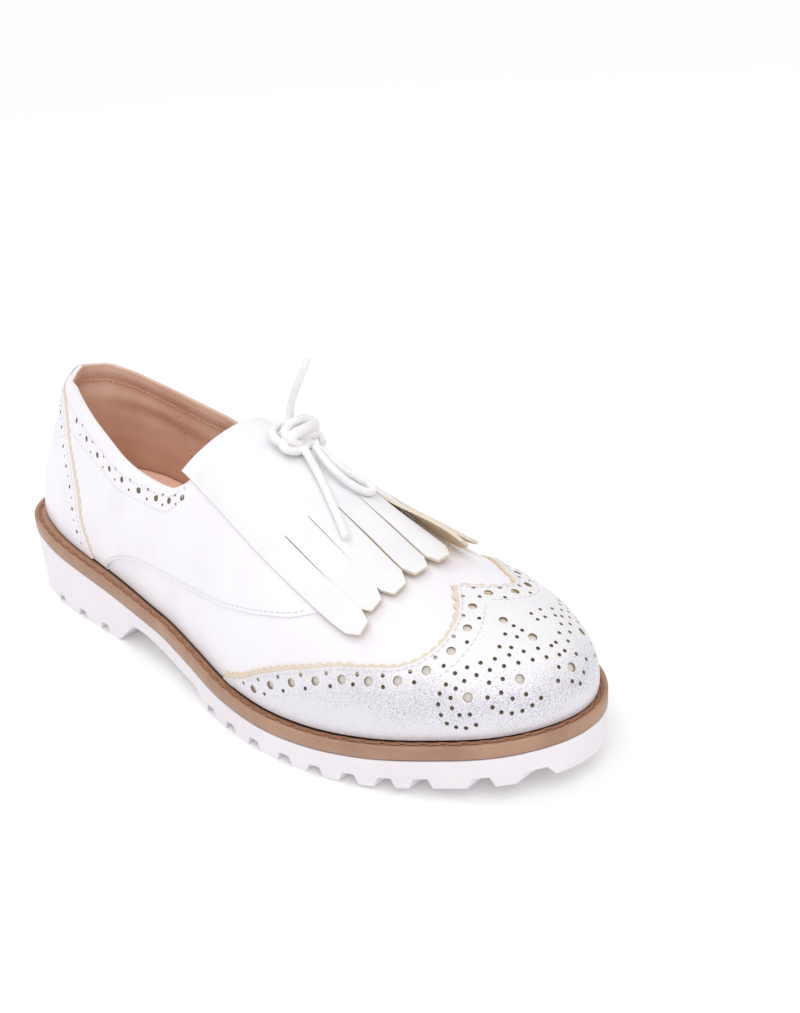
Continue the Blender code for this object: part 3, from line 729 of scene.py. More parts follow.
def make_piece(name, points, faces, finishes, slot, stands_for=(), finish_of=None, sharp=50.0):
    """A closed mesh from design points, riding on the shoe."""
    mesh = bpy.data.meshes.new(name)
    mesh.from_pydata(world(points).tolist(), [], faces)
    for finish in finishes:
        mesh.materials.append(finish)
    if finish_of is not None:
        mesh.polygons.foreach_set("material_index", np.asarray(finish_of, np.int32))
    bm = bmesh.new()
    bm.from_mesh(mesh)
    bmesh.ops.recalc_face_normals(bm, faces=bm.faces)
    bm.to_mesh(mesh)
    bm.free()
    mesh.shade_smooth()
    mesh.set_sharp_from_angle(angle=np.radians(sharp))
    piece = bpy.data.objects.new(name, mesh)
    bpy.context.scene.collection.objects.link(piece)
    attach(piece, "root")
    if stands_for:
        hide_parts(*stands_for)
    return piece


def joined(parts):
    """Points and faces of several meshes as one."""
    points, faces, first = [], [], 0
    for part_points, part_faces in parts:
        points.append(part_points)
        faces.extend([[corner + first for corner in face] for face in part_faces])
        first += len(part_points)
    return np.concatenate(points), faces


def grid_faces(rows, columns, closed=False):
    """Quads of a grid whose points run row by row; closed joins the last column to the first."""
    last = columns if closed else columns - 1
    return [[r * columns + c, r * columns + (c + 1) % columns, (r + 1) * columns + (c + 1) % columns,
             (r + 1) * columns + c] for r in range(rows - 1) for c in range(last)]


def used_only(points, faces):
    """The points that faces use, and the faces numbered by them."""
    used = np.unique([corner for face in faces for corner in face])
    number = np.full(len(points), -1)
    number[used] = np.arange(len(used))
    return points[used], [[int(number[corner]) for corner in face] for face in faces]


def frames_along(path):
    """Two crossways directions along a path, turning as little as they can."""
    tangent = np.gradient(path, axis=0)
    tangent /= np.linalg.norm(tangent, axis=1)[:, None]
    first = np.cross(np.cross(tangent[0], (0.0, 0.0, 1.0)), tangent[0])
    side = [first / np.linalg.norm(first)]
    for direction in tangent[1:]:
        carried = side[-1] - direction * (side[-1] @ direction)
        side.append(carried / np.linalg.norm(carried))
    side = np.array(side)
    return side, np.cross(tangent, side)


def tube_faces(rings, sides):
    """Faces of a tube of rings with flat ends."""
    faces = grid_faces(rings, sides, closed=True)
    faces.append(list(range(sides))[::-1])
    faces.append([(rings - 1) * sides + k for k in range(sides)])
    return faces


PLAIT = (8, 4.4, 0.07, 0.3)        # strands each way, length of one turn, relief, its sunken share
LACE_SIDES = 24


def lace_tube(path, girth=1.0):
    """A plaited round cord with flat cut ends along evenly spaced points."""
    strands, pitch, relief, sunk = PLAIT
    a, b = frames_along(path)
    turn = np.arange(LACE_SIDES) * 2 * np.pi / LACE_SIDES
    winding = run_along(path)[:, None] * 2 * np.pi / pitch
    weave = np.cos(strands / 2 * (turn + winding)) * np.cos(strands / 2 * (turn - winding))
    radius = girth * LACE / 2 + relief * (weave - sunk)
    around = np.cos(turn)[:, None] * a[:, None] + np.sin(turn)[:, None] * b[:, None]
    rings = path[:, None] + radius[..., None] * around
    return rings.reshape(-1, 3), tube_faces(len(path), LACE_SIDES)


# Stitches: places along one, in its own length, with girth and rise there
STITCH_ALONG = np.array([-0.5, -0.36, 0.0, 0.36, 0.5])
STITCH_GIRTH = np.array([0.45, 0.95, 1.0, 0.95, 0.45])
STITCH_RISE = np.array([-0.9, 0.05, 0.45, 0.05, -0.9])
STITCH_SIDES = 6


def stitch_row(path, normals, pitch, share, thick):
    """Stitches in a row along a path: share of the pitch that shows, thread thickness."""
    run = run_along(path)
    count = max(1, int(run[-1] / pitch))
    middles = (np.arange(count) + 0.5) * run[-1] / count
    at = middles[:, None] + STITCH_ALONG * pitch * share
    centre = np.stack([np.interp(at, run, path[:, k]) for k in range(3)], -1)
    normal = np.stack([np.interp(at, run, normals[:, k]) for k in range(3)], -1)
    normal /= np.linalg.norm(normal, axis=-1)[..., None]
    tangent = np.gradient(centre, axis=1)
    across = np.cross(tangent, normal)
    across /= np.linalg.norm(across, axis=-1)[..., None]
    centre = centre + normal * (STITCH_RISE * thick / 2)[:, None]
    turn = np.arange(STITCH_SIDES) * 2 * np.pi / STITCH_SIDES
    girth = (STITCH_GIRTH * thick / 2)[:, None, None]
    rings = centre[:, :, None] + girth * (np.cos(turn)[:, None] * across[:, :, None]
                                          + np.sin(turn)[:, None] * normal[:, :, None])
    one = tube_faces(len(STITCH_ALONG), STITCH_SIDES)
    size = len(STITCH_ALONG) * STITCH_SIDES
    faces = [[corner + k * size for corner in face] for k in range(count) for face in one]
    return rings.reshape(-1, 3), faces


def skin_line(chart, flat, lift):
    """A line of a flat chart on the shoe: points at a lift off the skin, normals."""
    t, v = chart.skin(np.asarray(flat, float))
    base, normal = SKIN.place(t, v)
    return base + normal * lift, normal


UPPER_STITCH = (0.8, 0.36)     # share of the pitch that shows, thread thickness
SEWN_STEP = 0.5


def sewn(chart, flat, lift, pitch=2.0):
    return stitch_row(*skin_line(chart, spaced_along(flat, SEWN_STEP), lift), pitch, *UPPER_STITCH)


# Panels cut from the skin in a flat chart
PROBE = 0.5                # short step that measures how a chart stretches
STRETCH_LIMITS = (0.4, 3.0)
NEAR_BLOCK = 200           # points compared at a time
FROM_EDGE, FROM_HOLE = 0.6, 0.45       # clear of filling points, in spacings
WELD = 1e-6
FLOOR_UP = 0.12            # of a punched hole, off the panel's back
EDGE_DROP = 0.14           # of a panel's face at its cut edges
RIM_POINTS = {0: 12, 1: 18}    # round a small and a large hole
PANEL_SHARP = 42.0
PANEL_MESH, FINE_MESH, STRIP_MESH = 1.7, 1.5, 2.0      # filling points: uppers, cap and flap, edge strips
EDGE_STEP, HIDDEN_STEP = 0.8, 1.6      # points along an edge that shows, along a hidden one


def inside(points, outline):
    """Which points lie inside a closed outline."""
    x, y = points[:, 0][:, None], points[:, 1][:, None]
    ax, ay = outline[:, 0], outline[:, 1]
    bx, by = np.roll(ax, -1), np.roll(ay, -1)
    with np.errstate(divide="ignore", invalid="ignore"):
        crossing = ((ay > y) != (by > y)) & (x < (bx - ax) * (y - ay) / (by - ay) + ax)
    return crossing.sum(1) % 2 == 1


def nearest(points, others):
    """Distance of each point to the nearest of the others."""
    best = np.full(len(points), np.inf)
    for block in np.array_split(np.asarray(others), max(1, len(others) // NEAR_BLOCK)):
        best = np.minimum(best, np.linalg.norm(points[:, None] - block, axis=2).min(1))
    return best


def filling(outline, spacing):
    """Staggered points over an outline's box."""
    low, high = outline.min(0), outline.max(0)
    rows = np.arange(low[1], high[1], spacing * np.sqrt(3) / 2)
    across = np.arange(low[0], high[0] + spacing, spacing)
    return np.concatenate([np.stack([across + (k % 2) * spacing / 2, np.full(len(across), y)], 1)
                           for k, y in enumerate(rows)])


def hole_ring(chart, centre, diameter, count):
    """A round hole's rim in the flat chart, worked out so that it is round on the shoe."""
    probe = np.array([centre, (centre[0] + PROBE, centre[1]), (centre[0], centre[1] + PROBE)])
    points = SKIN.plain(*chart.skin(probe))
    _, slant = np.linalg.qr(((points[1:] - points[0]) / PROBE).T)
    turn = np.arange(count) * 2 * np.pi / count
    circle = diameter / 2 * np.stack([np.cos(turn), np.sin(turn)])
    return np.asarray(centre) + (np.linalg.inv(slant) @ circle).T


def cut_panel(outline, rings, spacing):
    """Flat points, faces outside the holes, and each hole's own faces."""
    loops = [outline, *rings]
    points = np.concatenate(loops)
    edges, first = [], 0
    for loop in loops:
        edges.extend((first + k, first + (k + 1) % len(loop)) for k in range(len(loop)))
        first += len(loop)
    fill = filling(outline, spacing)
    fill = fill[inside(fill, outline)]
    fill = fill[nearest(fill, outline) > FROM_EDGE * spacing]
    for ring in rings:
        middle = ring.mean(0)
        reach = np.linalg.norm(ring - middle, axis=1).max() + FROM_HOLE * spacing
        fill = fill[np.linalg.norm(fill - middle, axis=1) > reach]
    every = np.concatenate([points, fill])
    flat, _, faces, *_ = delaunay_2d_cdt([Vector(p) for p in every], edges, [], 0, WELD)
    flat = np.array([tuple(p) for p in flat])
    faces = np.array(faces)
    middles = flat[faces].mean(1)
    faces, middles = (rows[inside(middles, outline)] for rows in (faces, middles))
    hole_of = np.full(len(faces), -1)
    for k, ring in enumerate(rings):
        low, high = ring.min(0), ring.max(0)
        close = np.where(((middles > low) & (middles < high)).all(1))[0]
        hole_of[close[inside(middles[close], ring)]] = k
    return flat, faces, hole_of


def rim_edges(faces):
    """Edges used by one face only, in that face's direction."""
    uses = {}
    for face in faces:
        for a, b in zip(face, np.roll(face, -1)):
            uses.setdefault((min(a, b), max(a, b)), []).append((a, b))
    return [found[0] for found in uses.values() if len(found) == 1]


def panel_solid(base, normal, faces, hole_of, large, low, high):
    """A panel between two lifts off the skin with blind punched holes: points, faces, finish numbers.

    Finishes: 0 face, 1 cut edge and back, 2 hole wall, a cut edge darkened with painted shade, 3 and 4 floors
    of small and large holes, the small ones dark with painted shade.
    """
    count = len(base)
    face_rows = [list(face) for face in faces[hole_of < 0]]
    rims = rim_edges(face_rows)
    ringed = set(faces[hole_of >= 0].ravel().tolist())
    top = base + normal * high
    edge = sorted({a for pair in rims for a in pair})
    top[edge] -= normal[edge] * EDGE_DROP
    points = np.concatenate([top, base + normal * low, base + normal * (low + FLOOR_UP)])
    made = list(face_rows)
    kinds = [0] * len(made)
    for face in faces:
        made.append([corner + count for corner in face[::-1]])
        kinds.append(1)
    for a, b in rims:
        hole = a in ringed and b in ringed
        foot = 2 * count if hole else count
        made.append([b, a, a + foot, b + foot])
        kinds.append(2 if hole else 1)
    for face, hole in zip(faces, hole_of):
        if hole >= 0:
            made.append([corner + 2 * count for corner in face])
            kinds.append(4 if large[hole] else 3)
    return *used_only(points, made), kinds


def make_panel(name, chart, outline, holes, spacing, low, high, face, edge, slot, stands_for=()):
    """A leather panel with punched holes: holes are rows of flat place, diameter, 1 for a large one."""
    rings = [hole_ring(chart, (p, q), diameter, RIM_POINTS[large]) for p, q, diameter, large in holes]
    flat, faces, hole_of = cut_panel(outline, rings, spacing)
    base, normal = SKIN.place(*chart.skin(flat))
    points, made, kinds = panel_solid(base, normal, faces, hole_of, [row[3] for row in holes], low, high)
    # The hole walls and the floors of small holes carry painted shade
    finishes = (face, edge, HOLE_WALL_PAINTED_SHADE, SMALL_FLOOR_PAINTED_SHADE, LARGE_FLOOR)
    make_piece(name, points, made, finishes, slot, stands_for, kinds, PANEL_SHARP)


def to_left(line):
    """Unit steps to the left of a flat line."""
    along = np.gradient(line, axis=0)
    along /= np.linalg.norm(along, axis=1)[:, None]
    return np.stack([-along[:, 1], along[:, 0]], 1)


def moved(chart, line, distance):
    """A flat line moved to its left by a distance that is measured on the shoe."""
    step = to_left(line) * np.sign(distance)
    here, there = (SKIN.plain(*chart.skin(places)) for places in (line, line + PROBE * step))
    stretch = np.clip(np.linalg.norm(there - here, axis=1) / PROBE, *STRETCH_LIMITS)
    return line + step * (abs(distance) / stretch)[:, None]


# Upper and lining: whole shells on the skin, with shares of their rows, closer at the collar edge
UPPER_ROWS = np.concatenate([np.linspace(0, 0.972, 44), [0.984, 0.993, 1.0]])
LINING_ROWS = np.concatenate([np.linspace(0, 0.75, 22), np.linspace(0.77, 0.985, 22), [0.992, 0.997]])
UPPER_SPACING, LINING_SPACING = 1.4, 2.0       # between columns
UPPER_BACK = -1.05         # of the outer leather, off the skin
LINING_BACK = -1.1         # of the lining, off the skin


def shell_columns(spacing):
    """Runs round the shoe and the stations they stand on, from the toe's tip round the heel and back."""
    end = FEATHER_RUN[LATERAL][-1]
    stations = feather_station(-np.linspace(0, end, int(end / spacing)))
    stations = np.unique(np.concatenate([stations, [THROAT_END, APEX]]))
    lateral = -feather_run(LATERAL, stations[::-1])
    medial = feather_run(MEDIAL, stations[1:-1])
    return np.concatenate([lateral, medial]), np.concatenate([stations[::-1], stations[1:-1]])


def make_shell(name, spacing, rows, inner, outer, finishes, slot, stands_for=()):
    """A hollow shell between two lifts off the skin, each a function of run and share.

    Finishes: 0 outer face, 1 inner face and foot, 2 and 3 collar rim on the lateral and the medial side.
    """
    runs, stations = shell_columns(spacing)
    t, v = np.meshgrid(runs, rows, indexing="ij")
    base, normal = SKIN.place(t, v)
    columns, count = len(runs), len(rows)
    number = np.arange(columns * count).reshape(columns, count)
    meeting = {}
    for k, s in enumerate(stations):
        if s >= THROAT_END:
            number[k, -1] = meeting.setdefault(min(round(s, 6), APEX), number[k, -1])
    shared = stations >= THROAT_END
    size = columns * count
    layers = [base + normal * lift(t, v)[..., None] for lift in (outer, inner)]
    points = np.concatenate([layer.reshape(-1, 3) for layer in layers])
    faces, kinds = [], []

    def add(corners, kind):
        corners = list(dict.fromkeys(int(corner) for corner in corners))
        if len(corners) > 2:
            faces.append(corners)
            kinds.append(kind)

    for k in range(columns):
        n = (k + 1) % columns
        for r in range(count - 1):
            quad = (number[k, r], number[n, r], number[n, r + 1], number[k, r + 1])
            add(quad, 0)
            add([corner + size for corner in quad[::-1]], 1)
        a, b = number[k, 0], number[n, 0]
        add((b, a, a + size, b + size), 1)
        if not (shared[k] and shared[n]):
            a, b = number[k, -1], number[n, -1]
            add((a, b, b + size, a + size), 2 if runs[k] < 0 else 3)
    make_piece(name, *used_only(points, faces), finishes, slot, stands_for, kinds, sharp=60.0)


def make_upper():
    make_shell("upper_shell", UPPER_SPACING, UPPER_ROWS, lambda t, v: UPPER_BACK + 0 * t, lambda t, v: 0 * t,
               (QUARTER_LEATHER,) * 3 + (LINING_LEATHER,), "upper_leather", ("upper",))


# Lining: heights are distances below the collar edge
GRIP = (1.6, 30.0)         # padded heel grip: rise, half width
GRIP_TOP, GRIP_FOOT = (7.0, 15.0), (32.0, 44.0)        # heights between which it swells and fades
LINING_ROLL = (2.4, 1.7, 0.45)     # rolled collar edge: height, half width, rise
LINING_STRIP = 5.2         # stitched strip along the collar edge: height of its foot
LINING_STEP = (0.35, 0.8)  # how far the strip stands out, over what width
LINING_SEAM = (48.0, 57.0, 30.0)       # upright seam: its stations at the collar and at its foot, its depth
LINING_STITCH = (2.2, 0.75, 0.7)       # pitch, share that shows, thread thickness
LINING_SEWN = (6.0, 118.0)             # stations of the row under the strip
ROW_BELOW, SEAM_BELOW = 1.0, 3.0       # start of the row and of the upright seam below the strip
# Soft folds: run, height, half sizes along and up, rise
LINING_FOLDS = (
    (48.0, 11.5, 34.0, 2.4, 0.7), (40.0, 16.5, 36.0, 2.2, -0.45), (-20.0, 24.0, 16.0, 2.6, 0.5),
    (14.0, 29.0, 20.0, 2.4, 0.45), (-62.0, 20.0, 3.0, 12.0, 0.4), (60.0, 26.0, 3.0, 9.0, 0.4),
    (-88.0, 18.0, 2.6, 10.0, 0.35), (84.0, 17.0, 2.8, 10.0, 0.35),
)


def lining_face(t, v):
    """Inner face of the lining: padded round the heel, stepped at its strip, softly folded."""
    down = from_edge(t, v)
    rise, half = GRIP
    swell = smooth_step((down - GRIP_TOP[0]) / (GRIP_TOP[1] - GRIP_TOP[0]))
    fade = smooth_step((GRIP_FOOT[1] - down) / (GRIP_FOOT[1] - GRIP_FOOT[0]))
    pad = rise * np.exp(-(t / half) ** 4) * swell * fade
    out, width = LINING_STEP
    strip = out * smooth_step((LINING_STRIP - down) / width)
    middle, half, rise = LINING_ROLL
    roll = rise * np.exp(-((down - middle) / half) ** 2)
    folds = sum(depth * np.exp(-((t - run) / wide) ** 2 - ((down - deep) / tall) ** 2)
                for run, deep, wide, tall, depth in LINING_FOLDS)
    return -WALL - pad - strip - roll - folds + rim_lean(t, v)


def make_lining():
    make_shell("lining_shell", LINING_SPACING, LINING_ROWS, lining_face, lambda t, v: LINING_BACK + 0 * t,
               (LINING_LEATHER,) * 4, "lining")


# Places on one side of the shoe, seen from that side: station and height
SEARCH_ROUNDS, SEARCH_GAIN = 25, 0.7       # share of a miss that each round takes off
SEARCH_RUN, SEARCH_SHARE = 0.3, 0.01       # reaches over which its slopes are measured


def on_side(side, stations, heights):
    """Run and share of the skin's points at given stations and heights."""
    s, z = np.asarray(stations, float), np.asarray(heights, float)
    t, v = side * feather_run(side, s), np.full(len(s), 0.5)
    low, high = (0.0, SKIN.runs[-1] - 1) if side == MEDIAL else (SKIN.runs[0] + 1, 0.0)
    for _ in range(SEARCH_ROUNDS):
        here = SKIN.plain(t, v)
        over = np.minimum(v + SEARCH_SHARE, 1)
        by_t = (SKIN.plain(t + SEARCH_RUN, v) - here) / SEARCH_RUN
        by_v = (SKIN.plain(t, over) - SKIN.plain(t, over - SEARCH_SHARE)) / SEARCH_SHARE
        miss_s, miss_z = s - here[:, 1], z - here[:, 2]
        area = by_t[:, 1] * by_v[:, 2] - by_t[:, 2] * by_v[:, 1]
        t = np.clip(t + SEARCH_GAIN * (miss_s * by_v[:, 2] - miss_z * by_v[:, 1]) / area, low, high)
        v = np.clip(v + SEARCH_GAIN * (by_t[:, 1] * miss_z - by_t[:, 2] * miss_s) / area, 0, 1)
    return t, v


# Quarters over the vamp: lower front edge seen from the side, station and height
QUARTER_EDGE = (
    (69.5, 25.0), (71.0, 27.0), (76.5, 31.0), (85.0, 34.5), (96.5, 37.5), (109.0, 38.0), (128.0, 39.5),
    (141.5, 41.0), (156.5, 42.5), (169.5, 44.0), (181.0, 45.5), (186.5, 47.5), (188.5, 50.5),
)
QUARTER = (0.06, 0.8)      # lifts of its back and face
QUARTER_SEAM = 1.2         # stitch line: from the edge
QUARTER_SEWN = slice(2, -14)       # its points that are sewn
QUARTER_STEPS = (1.5, 0.9)     # between places of its lower edge, between points of the cut
QUARTER_FRONT, QUARTER_FOOT = 120.0, 71.0      # stations of the front ends of its collar edge and of its foot
COLLAR_STEP, BACK_STEP = 1.4, 2.0
FEATHER_UP = 0.012         # bare share of the skin above the welt
# Its hidden edges: foot station, share of the column
UNDER_FLAP = (
    (188.5, 0.62), (170.0, 0.62), (150.0, 0.62), (128.0, 0.62), (126.5, 0.745), (123.0, 0.95), (121.0, 1.0),
)
UNDER_COUNTER = ((6.0, 1.0), (44.0, 0.4), (50.0, FEATHER_UP))
# Seams along the collar band: distance below the collar edge, first station
BAND_SEAMS = ((4.4, 18.0), (10.6, 32.0))
BAND_FRONT = 119.0         # station of their front ends
BAND_CROSS = (119.2, 1.5)  # seam across the band: station, distance below the collar edge where it starts
CROSS_POINTS = 12
# Large holes of the band seen from the lateral side: station and height
BAND_LARGE = ((45.0, 73.0), (57.0, 70.0), (67.0, 67.0), (77.0, 65.0), (87.0, 64.0), (96.5, 62.5),
              (105.0, 61.5), (112.5, 62.5), (119.0, 65.0))
LARGE_HOLE, SMALL_HOLE = 2.2, 1.0
PAIR_APART = 4.0           # between the two small holes of a pair


def quarter_seam(side):
    """The quarter's lower front edge in the heel chart, from the welt to under the flap."""
    solved, cut = QUARTER_STEPS
    t, v = on_side(side, *smooth_through(QUARTER_EDGE, solved).T)
    v[0] = FEATHER_UP
    return spaced_along(HEEL_CHART.flat(t, v), cut)


def foot_rows(side, rows):
    """Places in the heel chart of rows of foot station and share of the column."""
    stations, shares = (np.array(column, float) for column in zip(*rows))
    return HEEL_CHART.flat(side * feather_run(side, stations), shares)


def below_collar(side, stations, down):
    """A line at a distance below the collar edge, over foot stations."""
    t = side * feather_run(side, np.asarray(stations, float))
    return HEEL_CHART.flat(t, 1 - down / SKIN.length(t))


def edge_stations(first, last, spacing):
    return np.linspace(first, last, max(2, int(abs(last - first) / spacing)))


def band_holes(side):
    """Large holes in a row with pairs of small ones between them, along the collar."""
    t, v = on_side(LATERAL, *zip(*BAND_LARGE))
    down = from_edge(t, v)
    run = side * feather_run(side, feather_station(t))
    places = np.stack([run, SKIN.length(run) - down], 1)
    holes = [(p, q, LARGE_HOLE, 0) for p, q in places]
    for first, second in zip(places, places[1:]):
        along = (second - first) / np.linalg.norm(second - first)
        aside = np.array([-along[1], along[0]]) * PAIR_APART / 2
        holes.extend((*((first + second) / 2 + way * aside), SMALL_HOLE, 0) for way in (-1, 1))
    return holes


def make_quarter(side):
    seam = quarter_seam(side)
    hidden = spaced_along(foot_rows(side, UNDER_FLAP), HIDDEN_STEP)
    collar = below_collar(side, edge_stations(QUARTER_FRONT, UNDER_COUNTER[0][0], COLLAR_STEP), 0.0)
    back = spaced_along(foot_rows(side, UNDER_COUNTER), BACK_STEP)
    foot_stations = edge_stations(UNDER_COUNTER[-1][0], QUARTER_FOOT, HIDDEN_STEP)
    foot = foot_rows(side, [(s, FEATHER_UP) for s in foot_stations])
    outline = np.concatenate([seam, hidden[1:], collar, back[1:], foot[1:]])
    make_panel(f"quarter_{SIDE_WORD[side]}", HEEL_CHART, outline, band_holes(side), PANEL_MESH, *QUARTER,
               QUARTER_LEATHER, QUARTER_LEATHER, "upper_leather")


# Counter: front edge seen from the side, station and height
COUNTER_EDGE = (
    (16.0, 83.0), (19.0, 79.5), (25.5, 76.0), (32.0, 71.5), (41.5, 63.5), (49.0, 55.5), (53.0, 48.0),
    (54.5, 40.0), (59.0, 30.5), (61.0, 25.5),
)
COUNTER = (0.84, 1.5)      # lifts of its back and face
EDGE_STRIP = (0.82, 1.15)  # lifts of the scalloped strip under its edge
COUNTER_SCALLOP = (3.6, 0.7, 1.4)      # pitch, narrowest and added width of a scalloped strip
CAP_SCALLOP = (3.6, 0.4, 0.95)
STRIP_TUCK = 2.2           # of a strip under the panel that covers it
COUNTER_HOLES = (4.6, 8.7, 1.5, 0.8)       # from the edge, pitch, diameters of large and small
COUNTER_SEAM = 1.3         # stitch line: from the edge
COUNTER_SEWN = slice(3, -2)        # its points that are sewn
COUNTER_RIM, COUNTER_FOOT = 26, 90     # points along its collar edge and its foot
HOLES_BELOW, HOLES_OVER = 4.0, 3.0        # kept clear below the collar edge and over the welt


def counter_edge(side):
    t, v = on_side(side, *zip(*COUNTER_EDGE))
    v[0], v[-1] = 1.0, FEATHER_UP
    return smooth_through(HEEL_CHART.flat(t, v), EDGE_STEP)


def scalloped_strip(edge, outward, pitch, narrow, added):
    """Outline of a strip that shows past a panel's edge in scallops; outward is 1 on the edge's left."""
    run = run_along(edge)
    width = narrow + added * np.abs(np.sin(np.pi * run / pitch))
    outer = edge + outward * to_left(edge) * width[:, None]
    inner = spaced_along(edge - outward * STRIP_TUCK * to_left(edge), HIDDEN_STEP)
    return np.concatenate([outer, inner[::-1]])


def row_along(line, pitch, start=0.5):
    """Places along a flat line, a pitch apart."""
    run = run_along(line)
    at = np.arange(start * pitch, run[-1], pitch)
    return np.stack([np.interp(at, run, line[:, k]) for k in (0, 1)], 1)


def make_counter():
    edges = {side: counter_edge(side) for side in SIDES}
    away, pitch, large, small = COUNTER_HOLES
    holes, sewing = [], []
    for side in SIDES:
        inner = moved(HEEL_CHART, edges[side], -side * away)
        below = SKIN.length(inner[:, 0]) - inner[:, 1]
        inner = inner[(below > HOLES_BELOW) & (inner[:, 1] > HOLES_OVER)]
        holes.extend((p, q, large, 0) for p, q in row_along(inner, pitch))
        holes.extend((p, q, small, 0) for p, q in row_along(inner, pitch, 1.0))
        seam = moved(HEEL_CHART, edges[side], -side * COUNTER_SEAM)[COUNTER_SEWN]
        sewing.append(sewn(HEEL_CHART, seam, COUNTER[1]))
        outline = scalloped_strip(edges[side], side, *COUNTER_SCALLOP)
        # The strip's back is the leather's own tan. Its cut edges take the same tan, darker than the cream
        # face, as painted shade outlining the scallops
        make_panel(f"counter_strip_{SIDE_WORD[side]}", HEEL_CHART, outline, (), STRIP_MESH, *EDGE_STRIP,
                   CREAM_EDGE, TAN_BACK, "raw_edge")
    rim_runs = np.linspace(edges[LATERAL][0, 0], edges[MEDIAL][0, 0], COUNTER_RIM)[1:-1]
    foot_runs = np.linspace(edges[MEDIAL][-1, 0], edges[LATERAL][-1, 0], COUNTER_FOOT)[1:-1]
    rim = HEEL_CHART.flat(rim_runs, np.ones(len(rim_runs)))
    foot = HEEL_CHART.flat(foot_runs, np.full(len(foot_runs), FEATHER_UP))
    outline = np.concatenate([edges[LATERAL][::-1], rim, edges[MEDIAL], foot])
    make_panel("counter_panel", HEEL_CHART, outline, holes, PANEL_MESH, *COUNTER, COUNTER_LEATHER,
               COUNTER_LEATHER, "upper_leather", ("heel_counter",))
    return sewing


# Toe cap in the toe chart: distance from the ridge and station along its edge
CAP_LATERAL = (
    (-80.5, 152.0), (-73.0, 163.5), (-63.0, 174.5), (-51.0, 188.5), (-42.0, 200.5), (-37.5, 209.5),
    (-33.5, 216.0), (-28.0, 220.0), (-22.0, 221.5), (-15.0, 220.5), (-10.5, 218.5), (-6.0, 215.0),
    (-2.5, 211.0), (-1.0, 209.5),
)
CAP_MEDIAL = (
    (-1.0, 209.5), (1.5, 212.0), (5.0, 215.0), (9.5, 217.5), (13.0, 218.0), (16.0, 216.0), (18.5, 212.0),
    (23.0, 207.0), (30.5, 199.5), (41.5, 188.0), (55.5, 173.0), (65.0, 163.0), (72.5, 150.5),
)
CAP_FOOT = {LATERAL: 152.5, MEDIAL: 151.0}     # stations of the ends of its foot
CAP_FOOT_STEP = 1.8
CAP = (0.1, 1.3)           # lifts of its back and face
CAP_STRIP = (0.06, 0.75)   # lifts of the scalloped strip along its edge
CAP_BAND = (3.7, 8.8, 2.7, 1.25, 3.5)      # hole band: from the edge, pitch, diameters, small pair apart
CAP_BAND_START = 0.15      # first small pair of the band, in pitches
CAP_BAND_END = 2.0         # bare end of the band
SHORTEST_RUN = 6           # points of a stretch that is kept
HOLES_APART = 0.7          # leather left between two holes
HOLES_FOOT = 0.05          # share of the skin over the welt without holes
EDGE_CLEAR = 0.5           # leather left between a hole and the cap's edge
NEAR_AGAIN = 0.82          # share of a distance from the edge that a moved line has to keep
SEAM_FOOT = 0.07           # share of the skin over the welt that the cap's stitching leaves bare
CAP_SEAMS = (0.8, 7.3)     # stitch lines: from the edge
CAP_SEWN = slice(2, -2)    # their points that are sewn
CAP_STITCH = 2.1           # pitch
# Holes on the toe: large ones on its axis and beside it, chains of small ones; those beside it are mirrored
TOE_AXIS_LARGE = ((-2.5, 225.0), (-1.0, 234.0), (2.0, 249.5))
TOE_SIDE_LARGE = ((-12.5, 243.5), (-27.0, 238.5))
TOE_CHAINS = (
    ((-5.5, 229.0), (-9.5, 231.5)), ((-4.0, 231.5), (-7.5, 233.5)),
    ((-24.0, 230.5), (-20.0, 231.5), (-13.0, 234.0), (-6.0, 236.5), (1.0, 239.5)),
    ((-24.0, 234.0), (-16.5, 236.0), (-9.0, 239.0), (1.0, 243.5)),
    ((-28.5, 231.0), (-33.5, 232.0), (-36.5, 235.0), (-38.0, 238.5), (-37.0, 242.0), (-35.0, 245.0),
     (-31.5, 247.0)),
    ((-27.5, 234.0), (-31.0, 235.0), (-33.0, 237.5), (-33.0, 240.5), (-30.5, 243.0)),
    ((-24.0, 246.0), (-22.5, 250.0), (-19.5, 252.5), (-15.5, 253.5), (-11.0, 253.0)),
    ((-23.0, 242.5), (-19.0, 244.0), (-18.0, 247.5), (-14.0, 249.0)), ((-19.5, 239.0), (-16.0, 240.5)),
    ((-1.5, 247.0), (-4.0, 251.0)), ((-2.0, 228.0), (-1.5, 230.5)), ((0.0, 254.0), (2.5, 256.5)),
)
CHAIN_PITCH = 3.7


def cap_edge():
    lateral, medial = (smooth_through(rows, EDGE_STEP) for rows in (CAP_LATERAL, CAP_MEDIAL))
    return np.concatenate([lateral, medial[1:]])


def mirrored(flat):
    """The other side's place of a pattern: mirrored over the toe's axis through the apex."""
    flat = np.asarray(flat, float)
    angle = 2 * TOE_CHART.tip - np.arctan2(flat[:, 0], flat[:, 1] - APEX)
    reach = np.hypot(flat[:, 0], flat[:, 1] - APEX)
    return np.stack([reach * np.sin(angle), APEX + reach * np.cos(angle)], 1)


def kept_runs(edge, distance):
    """Stretches of the cap's edge moved in by a distance, without those that come too near to it again."""
    line = moved(TOE_CHART, edge, distance)
    away = nearest(*(SKIN.plain(*TOE_CHART.skin(places)) for places in (line, edge)))
    good = away > NEAR_AGAIN * distance
    cuts = np.where(np.diff(good.astype(int)) != 0)[0] + 1
    pieces = zip(np.split(line, cuts), np.split(good, cuts))
    return [piece for piece, keep in pieces if keep[0] and len(piece) > SHORTEST_RUN]


